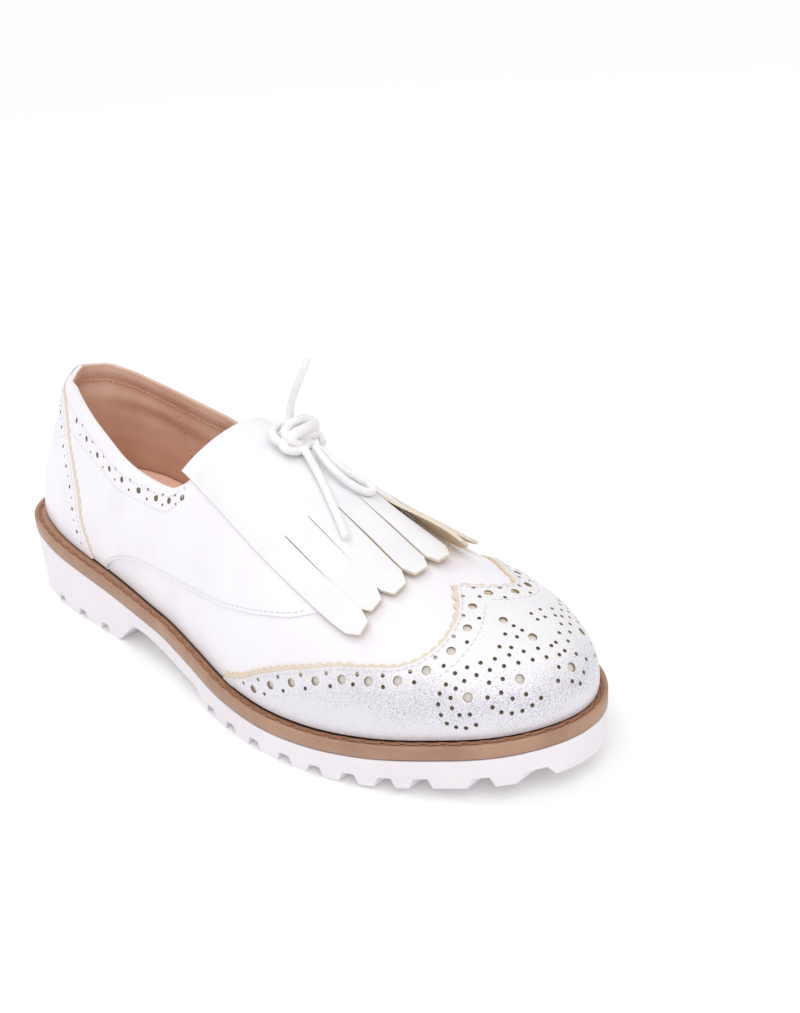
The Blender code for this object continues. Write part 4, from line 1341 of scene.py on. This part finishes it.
def cap_band_holes(edge):
    """Large holes along the cap's edge with pairs of small ones between them."""
    away, pitch, large, small, apart = CAP_BAND
    holes = []
    for line in kept_runs(edge, away):
        run = run_along(SKIN.plain(*TOE_CHART.skin(line)))
        for k, at in enumerate(np.arange(CAP_BAND_START * pitch, run[-1] - CAP_BAND_END, pitch / 2)):
            here = np.array([np.interp(at, run, line[:, axis]) for axis in (0, 1)])
            if k % 2 == 1:
                holes.append((*here, large, 1))
                continue
            ahead = np.array([np.interp(at + PROBE, run, line[:, axis]) for axis in (0, 1)]) - here
            left = np.array([-ahead[1], ahead[0]]) / np.linalg.norm(ahead)
            holes.extend((*(here + way * left * apart / 2), small, 0) for way in (-1, 1))
    return holes


def medallion_holes():
    """Large holes and small holes of the toe's pattern."""
    _, _, large, small, _ = CAP_BAND
    sides = np.array(TOE_SIDE_LARGE)
    chained = []
    for rows in TOE_CHAINS:
        chain = smooth_through(rows, CHAIN_PITCH)
        chained.extend((p, q, small, 0) for p, q in (*chain, *mirrored(chain)))
    return [(p, q, large, 1) for p, q in (*TOE_AXIS_LARGE, *sides, *mirrored(sides))], chained


def apart_only(holes, edge):
    """Holes without those that would touch an earlier one, the edge or the welt."""
    kept = []
    t, share = TOE_CHART.skin(np.array([hole[:2] for hole in holes]))
    places = SKIN.plain(t, share)
    clear = nearest(places, SKIN.plain(*TOE_CHART.skin(edge)))
    for k, hole in enumerate(holes):
        near = any(np.linalg.norm(places[k] - places[m]) < (hole[2] + holes[m][2]) / 2 + HOLES_APART
                   for m in kept)
        if not near and clear[k] > hole[2] / 2 + EDGE_CLEAR and share[k] > HOLES_FOOT:
            kept.append(k)
    return [holes[k] for k in kept]


def make_cap():
    edge = cap_edge()
    step = CAP_FOOT_STEP
    ends = {side: float(feather_run(side, CAP_FOOT[side])) for side in SIDES}
    medial = np.arange(ends[MEDIAL], FEATHER_RUN[MEDIAL][-1], step)
    lateral = np.arange(FEATHER_RUN[LATERAL][-1] - step / 2, ends[LATERAL], -step)
    runs = np.concatenate([medial, -lateral])
    foot = TOE_CHART.flat(runs, np.full(len(runs), FEATHER_UP))
    outline = np.concatenate([edge, foot])
    large, small = medallion_holes()
    holes = apart_only(large + cap_band_holes(edge) + small, edge)
    make_panel("cap_panel", TOE_CHART, outline, holes, FINE_MESH, *CAP, SHIMMER_LEATHER, SHIMMER_LEATHER,
               "cap_leather", ("toe_cap",))
    strips = {LATERAL: smooth_through(CAP_LATERAL, EDGE_STEP)[1:],
              MEDIAL: smooth_through(CAP_MEDIAL, EDGE_STEP)[:-1]}
    for side, line in strips.items():
        outline = scalloped_strip(line, -1, *CAP_SCALLOP)
        # The strip's back is the leather's own tan. Its cut edges take the same tan, darker than the cream
        # face, as painted shade outlining the scallops
        make_panel(f"cap_strip_{SIDE_WORD[side]}", TOE_CHART, outline, (), STRIP_MESH, *CAP_STRIP,
                   CREAM_EDGE, TAN_BACK, "raw_edge")
    rows = []
    for line in (piece for distance in CAP_SEAMS for piece in kept_runs(edge, distance)):
        _, share = TOE_CHART.skin(line)
        rows.append(sewn(TOE_CHART, line[share > SEAM_FOOT][CAP_SEWN], CAP[1], CAP_STITCH))
    return rows


def make_upper_stitching(cap_and_counter):
    rows = list(cap_and_counter)
    for side in SIDES:
        lines = [moved(HEEL_CHART, quarter_seam(side), side * QUARTER_SEAM)[QUARTER_SEWN]]
        for down, first in BAND_SEAMS:
            lines.append(below_collar(side, edge_stations(first, BAND_FRONT, 1.0), down))
        station, top = BAND_CROSS
        down = np.linspace(top, BAND_SEAMS[-1][0], CROSS_POINTS)
        lines.append(below_collar(side, [station] * CROSS_POINTS, down))
        rows.extend(sewn(HEEL_CHART, line, QUARTER[1]) for line in lines)
    make_piece("upper_stitching", *joined(rows), (PALE_THREAD,), "thread")


def make_lining_stitching():
    rows = []
    for side in SIDES:
        t = side * feather_run(side, np.linspace(*LINING_SEWN, 120))
        lines = [(t, 1 - (LINING_STRIP + ROW_BELOW) / SKIN.length(t))]
        from_station, to_station, deep = LINING_SEAM
        down = np.linspace(LINING_STRIP + SEAM_BELOW, deep, 30)
        upright = side * feather_run(side, from_station + (to_station - from_station) * down / deep)
        lines.append((upright, 1 - down / SKIN.length(upright)))
        for runs, shares in lines:
            base, normal = SKIN.place(runs, shares)
            line = base + normal * lining_face(runs, shares)[:, None]
            rows.append(stitch_row(line, -normal, *LINING_STITCH))
    make_piece("lining_stitching", *joined(rows), (LINING_THREAD,), "lining")


# Fringed flap
FLAP = (0.86, 1.96)        # lifts of its back and face
FLAP_TOP, FLAP_TOP_BOW = 121.0, 6.0        # station of its top edge, bow of that edge
FLAP_SHARE = {LATERAL: 0.465, MEDIAL: 0.50}    # share of the section that it covers
FLAP_HALF = 33.0           # flat half width
FLAP_FROM = 108.0          # first station of the skins under it
FLAP_STEP, TIP_STEP = 1.3, 1.2     # points along the strips' edges and tips
TIP_CLIP, TIP_HALF = 4.2, 0.28     # length of a tip's clipped corners, half width of the tip in strip widths
SLIT_HALF = 0.12           # half width of a slit where it starts
STRIP_BEND = 182.0         # station from which a strip has its shown width
LIFT_POWER, TWIST_TURN = 1.7, 0.62     # how late a tip lifts, half turns of the twist
# Strips from lateral to medial: where the slit on the strip's medial side starts, tip station, width shown,
# lift of the tip, twist of its two edges, sideways bend of the tip
STRIPS = (
    (164.6, 201.5, 9.0, 1.3, 0.4, -3.6), (165.7, 199.8, 9.1, 0.7, 0.3, -4.2),
    (165.7, 201.5, 9.1, 0.9, 0.4, -5.0), (167.6, 201.0, 8.7, 1.0, -0.4, -5.0),
    (165.2, 201.5, 8.3, 1.6, 0.3, -6.0), (163.5, 201.5, 7.8, 4.4, -4.0, -7.0),
    (163.5, 198.0, 8.0, 2.6, -1.2, -6.5),
)
STRIP_PITCH = 2 * FLAP_HALF / len(STRIPS)
LACE_HOLES = ((3.0, 141.0), (9.0, 143.2))        # x and station of the two holes under the knot
LACE_HOLE = 3.3            # diameter
LACE_HOLE_POINTS = 14
PLACE_POINTS = 200         # tried across the flap for a place on it


def flap_skins():
    stations = np.arange(FLAP_FROM, APEX + RUN_STEP / 2, RUN_STEP)
    return {side: Skin(stations, np.array([section(side, s) for s in stations])) for side in SIDES}


FLAP_SKINS = flap_skins()


def flap_base(flat):
    """Points of the instep under the flap's flat places, and normals out of the shoe."""
    across, s = flat[:, 0] / FLAP_HALF, flat[:, 1]
    points, normals = np.zeros((len(flat), 3)), np.zeros((len(flat), 3))
    for side in SIDES:
        own = (across < 0) == (side == LATERAL)
        place, normal = FLAP_SKINS[side].place(s[own], 1 - np.abs(across[own]) * FLAP_SHARE[side])
        points[own], normals[own] = place, normal * side
    return points, normals


def strip_lift(flat):
    """How far each place of the fringe stands off and bends aside: tips lift, some strips twist."""
    number = np.clip(((flat[:, 0] + FLAP_HALF) / STRIP_PITCH).astype(int), 0, len(STRIPS) - 1)
    slit, tip, _, rise, twist, bend = np.array(STRIPS)[number].T
    middle = -FLAP_HALF + (number + 0.5) * STRIP_PITCH
    down = np.clip((flat[:, 1] - slit) / (tip - slit), 0, 1)
    aside = (flat[:, 0] - middle) / (STRIP_PITCH / 2)
    lift = rise * down ** LIFT_POWER + twist * aside * np.sin(np.pi * TWIST_TURN * down) ** 2
    return lift, bend * down ** 2


def flap_outline():
    """The flap's cut outline: top edge, medial edge, strips with clipped tips, lateral edge."""
    across = np.linspace(-1, 1, 46)
    line = [np.stack([across * FLAP_HALF, FLAP_TOP - FLAP_TOP_BOW * across ** 2], 1)]
    for k in reversed(range(len(STRIPS))):
        start, tip, width = STRIPS[k][:3]
        middle = -FLAP_HALF + (k + 0.5) * STRIP_PITCH
        right, left = middle + width / 2, middle - width / 2
        outer_right, outer_left = k == len(STRIPS) - 1, k == 0
        slit_right = FLAP_TOP - FLAP_TOP_BOW if outer_right else start
        root_right = FLAP_HALF if outer_right else middle + STRIP_PITCH / 2 - SLIT_HALF
        root_left = -FLAP_HALF if outer_left else middle - STRIP_PITCH / 2 + SLIT_HALF
        slit_left = FLAP_TOP - FLAP_TOP_BOW if outer_left else STRIPS[k - 1][0]
        points = [(root_right, slit_right), (right, STRIP_BEND), (right, tip - TIP_CLIP),
                  (middle + TIP_HALF * width, tip), (middle - TIP_HALF * width, tip),
                  (left, tip - TIP_CLIP), (left, STRIP_BEND), (root_left, slit_left)]
        right_edge, left_edge = (spaced_along(rows, FLAP_STEP) for rows in (points[:3], points[5:]))
        line.append(right_edge[1:] if outer_right else right_edge)
        line.append(spaced_along(points[2:6], TIP_STEP)[1:-1])
        line.append(left_edge[:-1] if outer_left else left_edge)
    return np.concatenate(line)


def flap_place(x, s):
    """Flat place of the flap over a point of the floor plan."""
    side = LATERAL if x < float(ridge_x(s)) else MEDIAL
    shares = np.linspace(0, 1, PLACE_POINTS)
    places, _ = FLAP_SKINS[side].place(np.full(PLACE_POINTS, s), 1 - shares * FLAP_SHARE[side])
    return side * FLAP_HALF * float(np.interp(side * x, side * places[:, 0], shares)), s


def vertex_normals(points, faces):
    corner = points[faces]
    face_normal = np.cross(corner[:, 1] - corner[:, 0], corner[:, 2] - corner[:, 0])
    total = np.zeros_like(points)
    for k in range(3):
        np.add.at(total, faces[:, k], face_normal)
    return total / np.maximum(np.linalg.norm(total, axis=1), 1e-9)[:, None]


def make_flap():
    turn = np.arange(LACE_HOLE_POINTS) * 2 * np.pi / LACE_HOLE_POINTS
    circle = LACE_HOLE / 2 * np.stack([np.cos(turn), np.sin(turn)], 1)
    rings = [np.array(flap_place(x, s)) + circle for x, s in LACE_HOLES]
    flat, faces, hole_of = cut_panel(flap_outline(), rings, FINE_MESH)
    faces = faces[hole_of < 0]
    lift, bend = strip_lift(flat)
    base, normal = flap_base(flat + np.stack([bend, 0 * bend], 1))
    middle = base + normal * (sum(FLAP) / 2 + lift)[:, None]
    own = vertex_normals(middle, faces)
    own *= np.sign((own * normal).sum(1).mean())
    half = (FLAP[1] - FLAP[0]) / 2
    rims = rim_edges([list(face) for face in faces])
    edge = sorted({a for pair in rims for a in pair})
    top, back = middle + own * half, middle - own * half
    top[edge] -= own[edge] * EDGE_DROP
    count = len(flat)
    made = [list(face) for face in faces] + [[corner + count for corner in face[::-1]] for face in faces]
    made.extend([b, a, a + count, b + count] for a, b in rims)
    kinds = [0] * len(faces) + [2] * len(faces) + [1] * len(rims)
    points, made = used_only(np.concatenate([top, back]), made)
    piece = make_piece("flap_sheet", points, made, (FLAP_LEATHER, CREAM_EDGE, TAN_BACK), "flap_leather",
                       ("fringe_flap",), kinds, PANEL_SHARP)


# Sole
HEEL_GROOVES = (17.0, 35.5, 52.0, 68.0)
TREAD_GROOVES = (143.5, 156.0, 168.5, 182.0, 193.5, 205.0, 216.0, 226.0, 241.0, 251.5)
GROOVE_MOUTH, GROOVE_FLOOR, GROOVE_DEPTH = 3.2, 1.9, 3.3
ACROSS = ((-1.0, 0), (-0.62, 0), (-0.56, 1), (-0.42, 1), (-0.36, 0),
          (0.36, 0), (0.42, 1), (0.56, 1), (0.62, 0), (1.0, 0))     # share of the half width, 1 in a channel
CHANNELS = ((12.0, 70.0), (139.0, 240.0))      # stations between which lengthwise channels run
WALL_ROWS = (0.3, 0.65)    # shares of the side wall's height
END = 0.25                 # first and last station, in from the ends
SOLE_STATIONS, STATION_CLEAR = 130, 0.8        # how many, kept clear of bends and grooves
NARROWEST = 0.6            # half width of the tread at the ends, in half widths of the sole
SOLE_ROUNDING = 0.6


def sole_stations():
    """Stations of the tread: station, 1 on a groove's floor."""
    grooves = HEEL_GROOVES + TREAD_GROOVES
    marks = {g + offset: floor for g in grooves for offset, floor in
             ((-GROOVE_MOUTH, 0), (-GROOVE_FLOOR, 1), (GROOVE_FLOOR, 1), (GROOVE_MOUTH, 0))}
    bends = [s for s, _ in TREAD_RISE[1:-1]]
    spaced = end_spaced(END, LENGTH - END, SOLE_STATIONS)
    for s in bends + [s for s in spaced if min(abs(s - bend) for bend in bends) > STATION_CLEAR]:
        if all(abs(s - groove) > GROOVE_MOUTH + STATION_CLEAR for groove in grooves):
            marks[s] = 0
    return sorted(marks.items())


def make_outsole():
    rings = []
    for s, groove in sole_stations():
        w, c = float(half_width(s)), float(centre_line(s))
        taper = max(w - TREAD_INSET, NARROWEST * w)
        top = float(welt_under(s)) - GAP
        low = float(tread(s))
        deep = any(first < s < last for first, last in CHANNELS)
        under = [(c + share * taper, s, low + (GROOVE_DEPTH if groove or (deep and channel) else 0.0))
                 for share, channel in ACROSS]
        edge = under[0][2]
        wall = [(taper + (w - taper) * up, edge + (top - edge) * up) for up in WALL_ROWS]
        right = [(c + out, s, z) for out, z in wall]
        left = [(c - out, s, z) for out, z in wall[::-1]]
        rings.append([*under, *right, (c + w, s, top), (c - w, s, top), *left])
    faces = tube_faces(len(rings), len(rings[0]))
    piece = make_piece("sole_unit", np.array(rings).reshape(-1, 3), faces, (MOULDED_RUBBER,), "sole",
                       ("outsole",), sharp=35.0)
    rounding = piece.modifiers.new("rounding", "BEVEL")
    rounding.width = SOLE_ROUNDING * MM
    rounding.segments = 2
    rounding.limit_method = "ANGLE"
    rounding.angle_limit = np.radians(34)
    rounding.harden_normals = False


# Welt beside the upper: inset from the upper's foot, height over its underside
WELT_BY_UPPER = ((5.0, 4.0), (0.2, 4.0), (-0.7, 4.35))
# The rest of its section: inset from the outline, height over its underside
WELT_SECTION = (
    (3.0, 4.46), (2.7, 4.22), (1.5, 4.22), (1.2, 4.46), (0.65, 4.5), (0.28, 4.42), (0.07, 4.22),
    (0.0, 3.9), (0.0, 2.3), (0.0, 0.55), (0.1, 0.2), (0.4, 0.04), (0.9, 0.0), (9.0, 0.0),
)
WELT_STEP = 1.6            # between sections round the shoe
WELT_SEAM = (2.1, 4.22)    # stitch line: inset, height
WELT_STITCH = (6.1, 0.86, 0.95)    # pitch, share that shows, thread thickness
STRANDS_APART = 0.62
STRAND_RISE, STRAND_THICK = 0.28, 0.72     # of each of the two strands, in thread thicknesses


def round_outline(spacing):
    """The sole's outline as one loop: rows of x, s and the way out."""
    (lateral, out_l), (medial, out_m) = (outline_side(side, no_inset) for side in SIDES)
    edge = np.concatenate([lateral, medial[::-1]])
    out = np.concatenate([out_l, out_m[::-1]])
    step = np.concatenate([[True], np.linalg.norm(np.diff(edge, axis=0), axis=1) > WELD])
    edge, out = edge[step], out[step]
    run = run_along(edge)
    at = np.linspace(0, run[-1], int(run[-1] / spacing), endpoint=False)
    edge, out = (np.stack([np.interp(at, run, rows[:, k]) for k in (0, 1)], 1) for rows in (edge, out))
    return edge, out / np.linalg.norm(out, axis=1)[:, None]


def at_inset(edge, out, inset, height):
    place = edge - np.broadcast_to(inset, len(edge))[:, None] * out
    return np.column_stack([place, welt_under(np.clip(place[:, 1], 0, LENGTH)) + height])


def make_welt():
    edge, out = round_outline(WELT_STEP)
    upper = shelf(edge[:, 1])
    section_rows = [(upper + inset, height) for inset, height in WELT_BY_UPPER] + list(WELT_SECTION)
    rings = np.stack([at_inset(edge, out, inset, height) for inset, height in section_rows], 1)
    count, sides = len(edge), len(section_rows)
    faces = grid_faces(count, sides, closed=True)
    faces.extend([(count - 1) * sides + k, (count - 1) * sides + (k + 1) % sides, (k + 1) % sides, k]
                 for k in range(sides))
    # The welt's faces beside the upper take the darker copy: painted shade where the upper meets the welt
    dark = [int(max(corner % sides for corner in face) < len(WELT_BY_UPPER)) for face in faces]
    make_piece("welt_strip", rings.reshape(-1, 3), faces, (WELT_LEATHER, WELT_PAINTED_SHADE), "welt", ("welt",), dark,
               sharp=38.0)
    inset, height = WELT_SEAM
    pitch, share, thick = WELT_STITCH
    rows = []
    for aside in (-1, 1):
        line = at_inset(edge, out, inset + aside * STRANDS_APART / 2, height + thick * STRAND_RISE)
        line = np.concatenate([line, line[:1]])
        upward = np.tile((0.0, 0.0, 1.0), (len(line), 1))
        rows.append(stitch_row(line, upward, pitch, share, thick * STRAND_THICK))
    make_piece("welt_stitching", *joined(rows), (WELT_THREAD,), "welt_thread")


INSOLE_DISH = ((0, 5.0), (46, 5.0), (80, 1.6), (258, 1.4))     # station, rise of its rim over its middle
INSOLE_ROUND, ROUND_FROM = 0.9, 0.94       # drop of its edge, share of the half width where that starts
INSOLE_SINK = 0.6          # of its middle
INSOLE_STATIONS = 90
INSOLE_SHARES = np.concatenate([[-1.0, -0.985, -0.95], np.linspace(-0.88, 0.88, 17), [0.95, 0.985, 1.0]])


def insole_inset(s):
    return shelf(s) + WALL + 2 * GAP


def make_insole():
    sides = {side: outline_side(side, insole_inset)[0] for side in SIDES}
    first = float(insole_inset(0)) + END
    last = LENGTH - float(insole_inset(LENGTH)) - END
    stations = end_spaced(first, last, INSOLE_STATIONS)
    beside = np.abs(INSOLE_SHARES)
    drop = INSOLE_ROUND * smooth_step((beside - ROUND_FROM) / (1 - ROUND_FROM))
    dish = table_curve(INSOLE_DISH, 1, flat_at_turns=True)
    top, under = [], []
    for s in stations:
        left, right = (np.interp(s, sides[side][:, 1], sides[side][:, 0]) for side in SIDES)
        x = 0.5 * (left + right) + 0.5 * (right - left) * INSOLE_SHARES
        rise = INSOLE_THICK - INSOLE_SINK + float(dish(s)) * beside ** 3 - drop
        z = float(feather_height(s))
        top.append(np.column_stack([x, np.full(len(x), s), z + rise]))
        under.append(np.column_stack([x, np.full(len(x), s), np.full(len(x), z)]))
    rows, columns = len(stations), len(INSOLE_SHARES)
    size = rows * columns
    faces = grid_faces(rows, columns)
    faces.extend([[corner + size for corner in face[::-1]] for face in grid_faces(rows, columns)])
    rim = [(r, r + columns) for r in range(0, size - columns, columns)]
    rim += [(r + 2 * columns - 1, r + columns - 1) for r in range(0, size - columns, columns)]
    rim += [(c + 1, c) for c in range(columns - 1)]
    rim += [(size - columns + c, size - columns + c + 1) for c in range(columns - 1)]
    faces.extend([a, b, b + size, a + size] for a, b in rim)
    make_piece("insole_sock", np.concatenate([*top, *under]), faces, (INSOLE_LEATHER,), "insole", ("insole",),
               sharp=60.0)


# Lace on the flap
FLAP_FACE = 1.9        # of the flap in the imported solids, off the upper
KNOT = (5.0, 143.5)    # x and station under the knot's middle
# Routes: x, station, height over lying on the flap
LACE_ROUTES = {
    "lace_end_up": (
        (3.0, 141.0, -3.2), (4.2, 139.8, 0.8), (6.6, 138.2, 5.2), (7.4, 138.9, 10.0), (6.6, 142.4, 16.2),
        (6.9, 145.8, 23.0), (8.6, 147.7, 29.8),
    ),
    "lace_end_down": (
        (1.2, 150.5, 1.9), (-1.4, 158.8, 0.5), (-5.4, 168.4, 0.0), (-8.2, 174.7, 0.0), (-10.9, 180.2, 0.0),
    ),
    "lace_loop": (
        (5.2, 151.5, 2.1), (3.4, 157.8, 2.0), (3.2, 162.4, 1.6), (4.4, 166.6, 0.9), (6.4, 169.6, 0.4),
        (8.8, 171.0, 0.0), (11.2, 170.3, 0.0), (12.2, 168.0, 0.0), (11.4, 165.2, 0.0), (9.4, 161.4, 0.0),
        (8.2, 157.0, 0.2), (9.0, 150.9, 0.8),
    ),
}
# Strands of the knot: girth, then across, along towards the toe and height over the flap
KNOT_STRANDS = (
    (1.2, ((-4.1, 1.3, 1.8), (-6.6, 0.4, 3.0), (-6.6, -1.3, 4.6), (-3.8, -2.7, 6.0), (-0.2, -3.2, 6.9),
           (4.0, -3.5, 7.0), (7.2, -3.4, 6.0), (8.8, -2.6, 4.4), (8.0, -1.6, 2.6), (5.6, -1.0, 1.2),
           (4.2, -0.6, -1.2), (4.0, -0.4, -3.2))),
    (1.4, ((-3.2, 3.0, 1.6), (-5.3, 2.5, 2.2), (-6.3, 1.4, 3.4), (-5.2, 1.4, 4.8), (-2.0, 1.2, 5.8),
           (2.4, 0.2, 6.2), (6.2, -1.2, 5.0), (6.4, -1.0, 3.2), (3.9, -0.4, 1.8))),
    (1.1, ((4.0, -8.4, 3.0), (-0.5, -8.0, 3.4), (-4.5, -7.3, 3.0), (-7.6, -5.5, 2.4), (-9.1, -2.6, 1.8),
           (-8.2, 0.3, 1.4), (-5.5, 1.9, 1.4), (-0.4, 1.7, 1.4), (3.2, 4.0, 1.6))),
    (1.0, ((-8.9, 0.9, 1.2), (-9.2, 3.4, 1.1), (-7.7, 5.0, 1.1), (-3.9, 5.4, 1.3), (1.4, 2.3, 1.6))),
    (1.0, ((4.0, -4.4, 3.4), (7.8, -5.1, 3.2), (9.1, -2.6, 2.6), (9.7, 0.2, 1.6), (7.6, 3.4, 1.2))),
    (1.5, ((-5.0, -0.6, 2.4), (-1.5, 0.2, 3.3), (2.6, 0.4, 3.4), (6.6, -0.4, 2.6))),
)
LACE_STEP = 0.55
INSTEP_SHARES = np.linspace(1, 0.45, 60)       # from the ridge down
INSTEP_REACH = 2.0         # over which the instep's slopes are measured


def instep_height(x, s):
    side = LATERAL if x < float(ridge_x(s)) else MEDIAL
    points = FLAP_SKINS[side].plain(np.full(len(INSTEP_SHARES), s), INSTEP_SHARES)
    return float(np.interp(side * x, side * points[:, 0], points[:, 2]))


def instep_slopes(x, s):
    reach = INSTEP_REACH
    across = (instep_height(x + reach, s) - instep_height(x - reach, s)) / (2 * reach)
    along = (instep_height(x, s + reach) - instep_height(x, s - reach)) / (2 * reach)
    return across, along


def height_on_flap(x, s, clear):
    """Height over the floor of a point that stands clear of the flap's outer face, square to it."""
    across, along = instep_slopes(x, s)
    return instep_height(x, s) + (FLAP_FACE + clear) * np.sqrt(1 + across ** 2 + along ** 2)


def make_lace_cords():
    for name, rows in LACE_ROUTES.items():
        places = [(x, s, height_on_flap(x, s, GAP + LACE / 2) + lift) for x, s, lift in rows]
        path = smooth_through(places, LACE_STEP)
        piece = make_piece(f"{name}_cord", *lace_tube(path), (WOVEN_LACE,), "lace", (name,))
        way = world(path)


def make_knot():
    across, along = instep_slopes(*KNOT)
    normal = np.array([-across, -along, 1.0]) / np.sqrt(1 + across ** 2 + along ** 2)
    toe = np.array([0.0, 1.0, along])
    toe /= np.linalg.norm(toe)
    side = np.cross(toe, normal)
    foot = np.array([*KNOT, height_on_flap(*KNOT, GAP)])
    axes = np.stack([side, toe, normal])
    tubes = [lace_tube(foot + smooth_through(rows, LACE_STEP) @ axes, girth) for girth, rows in KNOT_STRANDS]
    make_piece("knot_cords", *joined(tubes), (WOVEN_LACE,), "lace", ("lace_knot",))


# Studio
PHOTO = (800, 1013)        # pixels across and down
CAMERA_TURN = (-44.86, 24.46, -3.85)       # azimuth, elevation, roll in degrees
CAMERA_PLACE = (-242.8, -308.3, 229.1)     # x of the shoe, then y and z of the world, in millimetres
FOCAL_PIXELS = 1261.0
SENSOR = 36.0


def make_camera():
    azimuth, elevation, roll = np.radians(CAMERA_TURN)
    level = np.cos(elevation)
    back = np.array([np.sin(azimuth) * level, -np.cos(azimuth) * level, np.sin(elevation)])
    right = np.array([np.cos(azimuth), np.sin(azimuth), 0.0])
    up = np.cross(back, right)
    c, n = np.cos(roll), np.sin(roll)
    axes = np.stack([c * right + n * up, c * up - n * right, back], 1)
    data = bpy.data.cameras.new("camera")
    data.sensor_width = SENSOR
    data.lens = SENSOR * FOCAL_PIXELS / max(PHOTO)
    data.clip_start = 0.01
    camera = bpy.data.objects.new("camera", data)
    place = Vector((CAMERA_PLACE[0] - MIDDLE, CAMERA_PLACE[1], CAMERA_PLACE[2])) * MM
    camera.matrix_world = Matrix.Translation(place) @ Matrix(axes.tolist()).to_4x4()
    bpy.context.scene.collection.objects.link(camera)
    bpy.context.scene.camera = camera


# Lights, in metres
SUN = ((-0.35, -0.45, 0.95), 1.25, 70.0, (1.0, 0.985, 0.97))       # place, strength, width in degrees, colour
GLOSS_PANEL = ((-0.15, 0.55, 1.1), 0.7, 2.5, (1.0, 1.0, 1.0))      # place, size, watts, colour
LIGHT_AIM = Vector((0.0, 0.0, 0.03))
ROOM = ((0.985, 0.975, 1.0), 0.66)     # colour and strength of the light all round
FLOOR_HALF = 60.0


def place_light(name, data, place):
    light = bpy.data.objects.new(name, data)
    light.location = place
    light.rotation_euler = (LIGHT_AIM - Vector(place)).to_track_quat("-Z", "Y").to_euler()
    bpy.context.scene.collection.objects.link(light)


def make_lights():
    place, strength, width, colour = SUN
    sun = bpy.data.lights.new("soft_sun", "SUN")
    sun.energy = strength
    sun.angle = np.radians(width)
    sun.color = colour
    place_light("soft_sun", sun, place)
    place, size, watts, colour = GLOSS_PANEL
    panel = bpy.data.lights.new("gloss_panel", "AREA")
    panel.size = size
    panel.energy = watts
    panel.color = colour
    place_light("gloss_panel", panel, place)
    room = bpy.data.worlds.new("room")
    room.use_nodes = True
    colour, strength = ROOM
    room.node_tree.nodes["Background"].inputs["Color"].default_value = (*colour, 1)
    room.node_tree.nodes["Background"].inputs["Strength"].default_value = strength
    bpy.context.scene.world = room
    bpy.context.scene.view_settings.view_transform = "Standard"


def make_floor():
    corners = [(x * FLOOR_HALF, y * FLOOR_HALF, 0) for x, y in ((-1, -1), (1, -1), (1, 1), (-1, 1))]
    mesh = bpy.data.meshes.new("floor")
    mesh.from_pydata(corners, [], [(0, 1, 2, 3)])
    mesh.materials.append(studio_floor())
    floor = bpy.data.objects.new("floor", mesh)
    bpy.context.scene.collection.objects.link(floor)


make_camera()
make_lights()
make_floor()
make_lace_cords()
make_knot()
make_upper()
make_lining()
make_lining_stitching()
for foot_side in SIDES:
    make_quarter(foot_side)
make_upper_stitching(make_counter() + make_cap())
make_flap()
make_outsole()
make_welt()
make_insole()
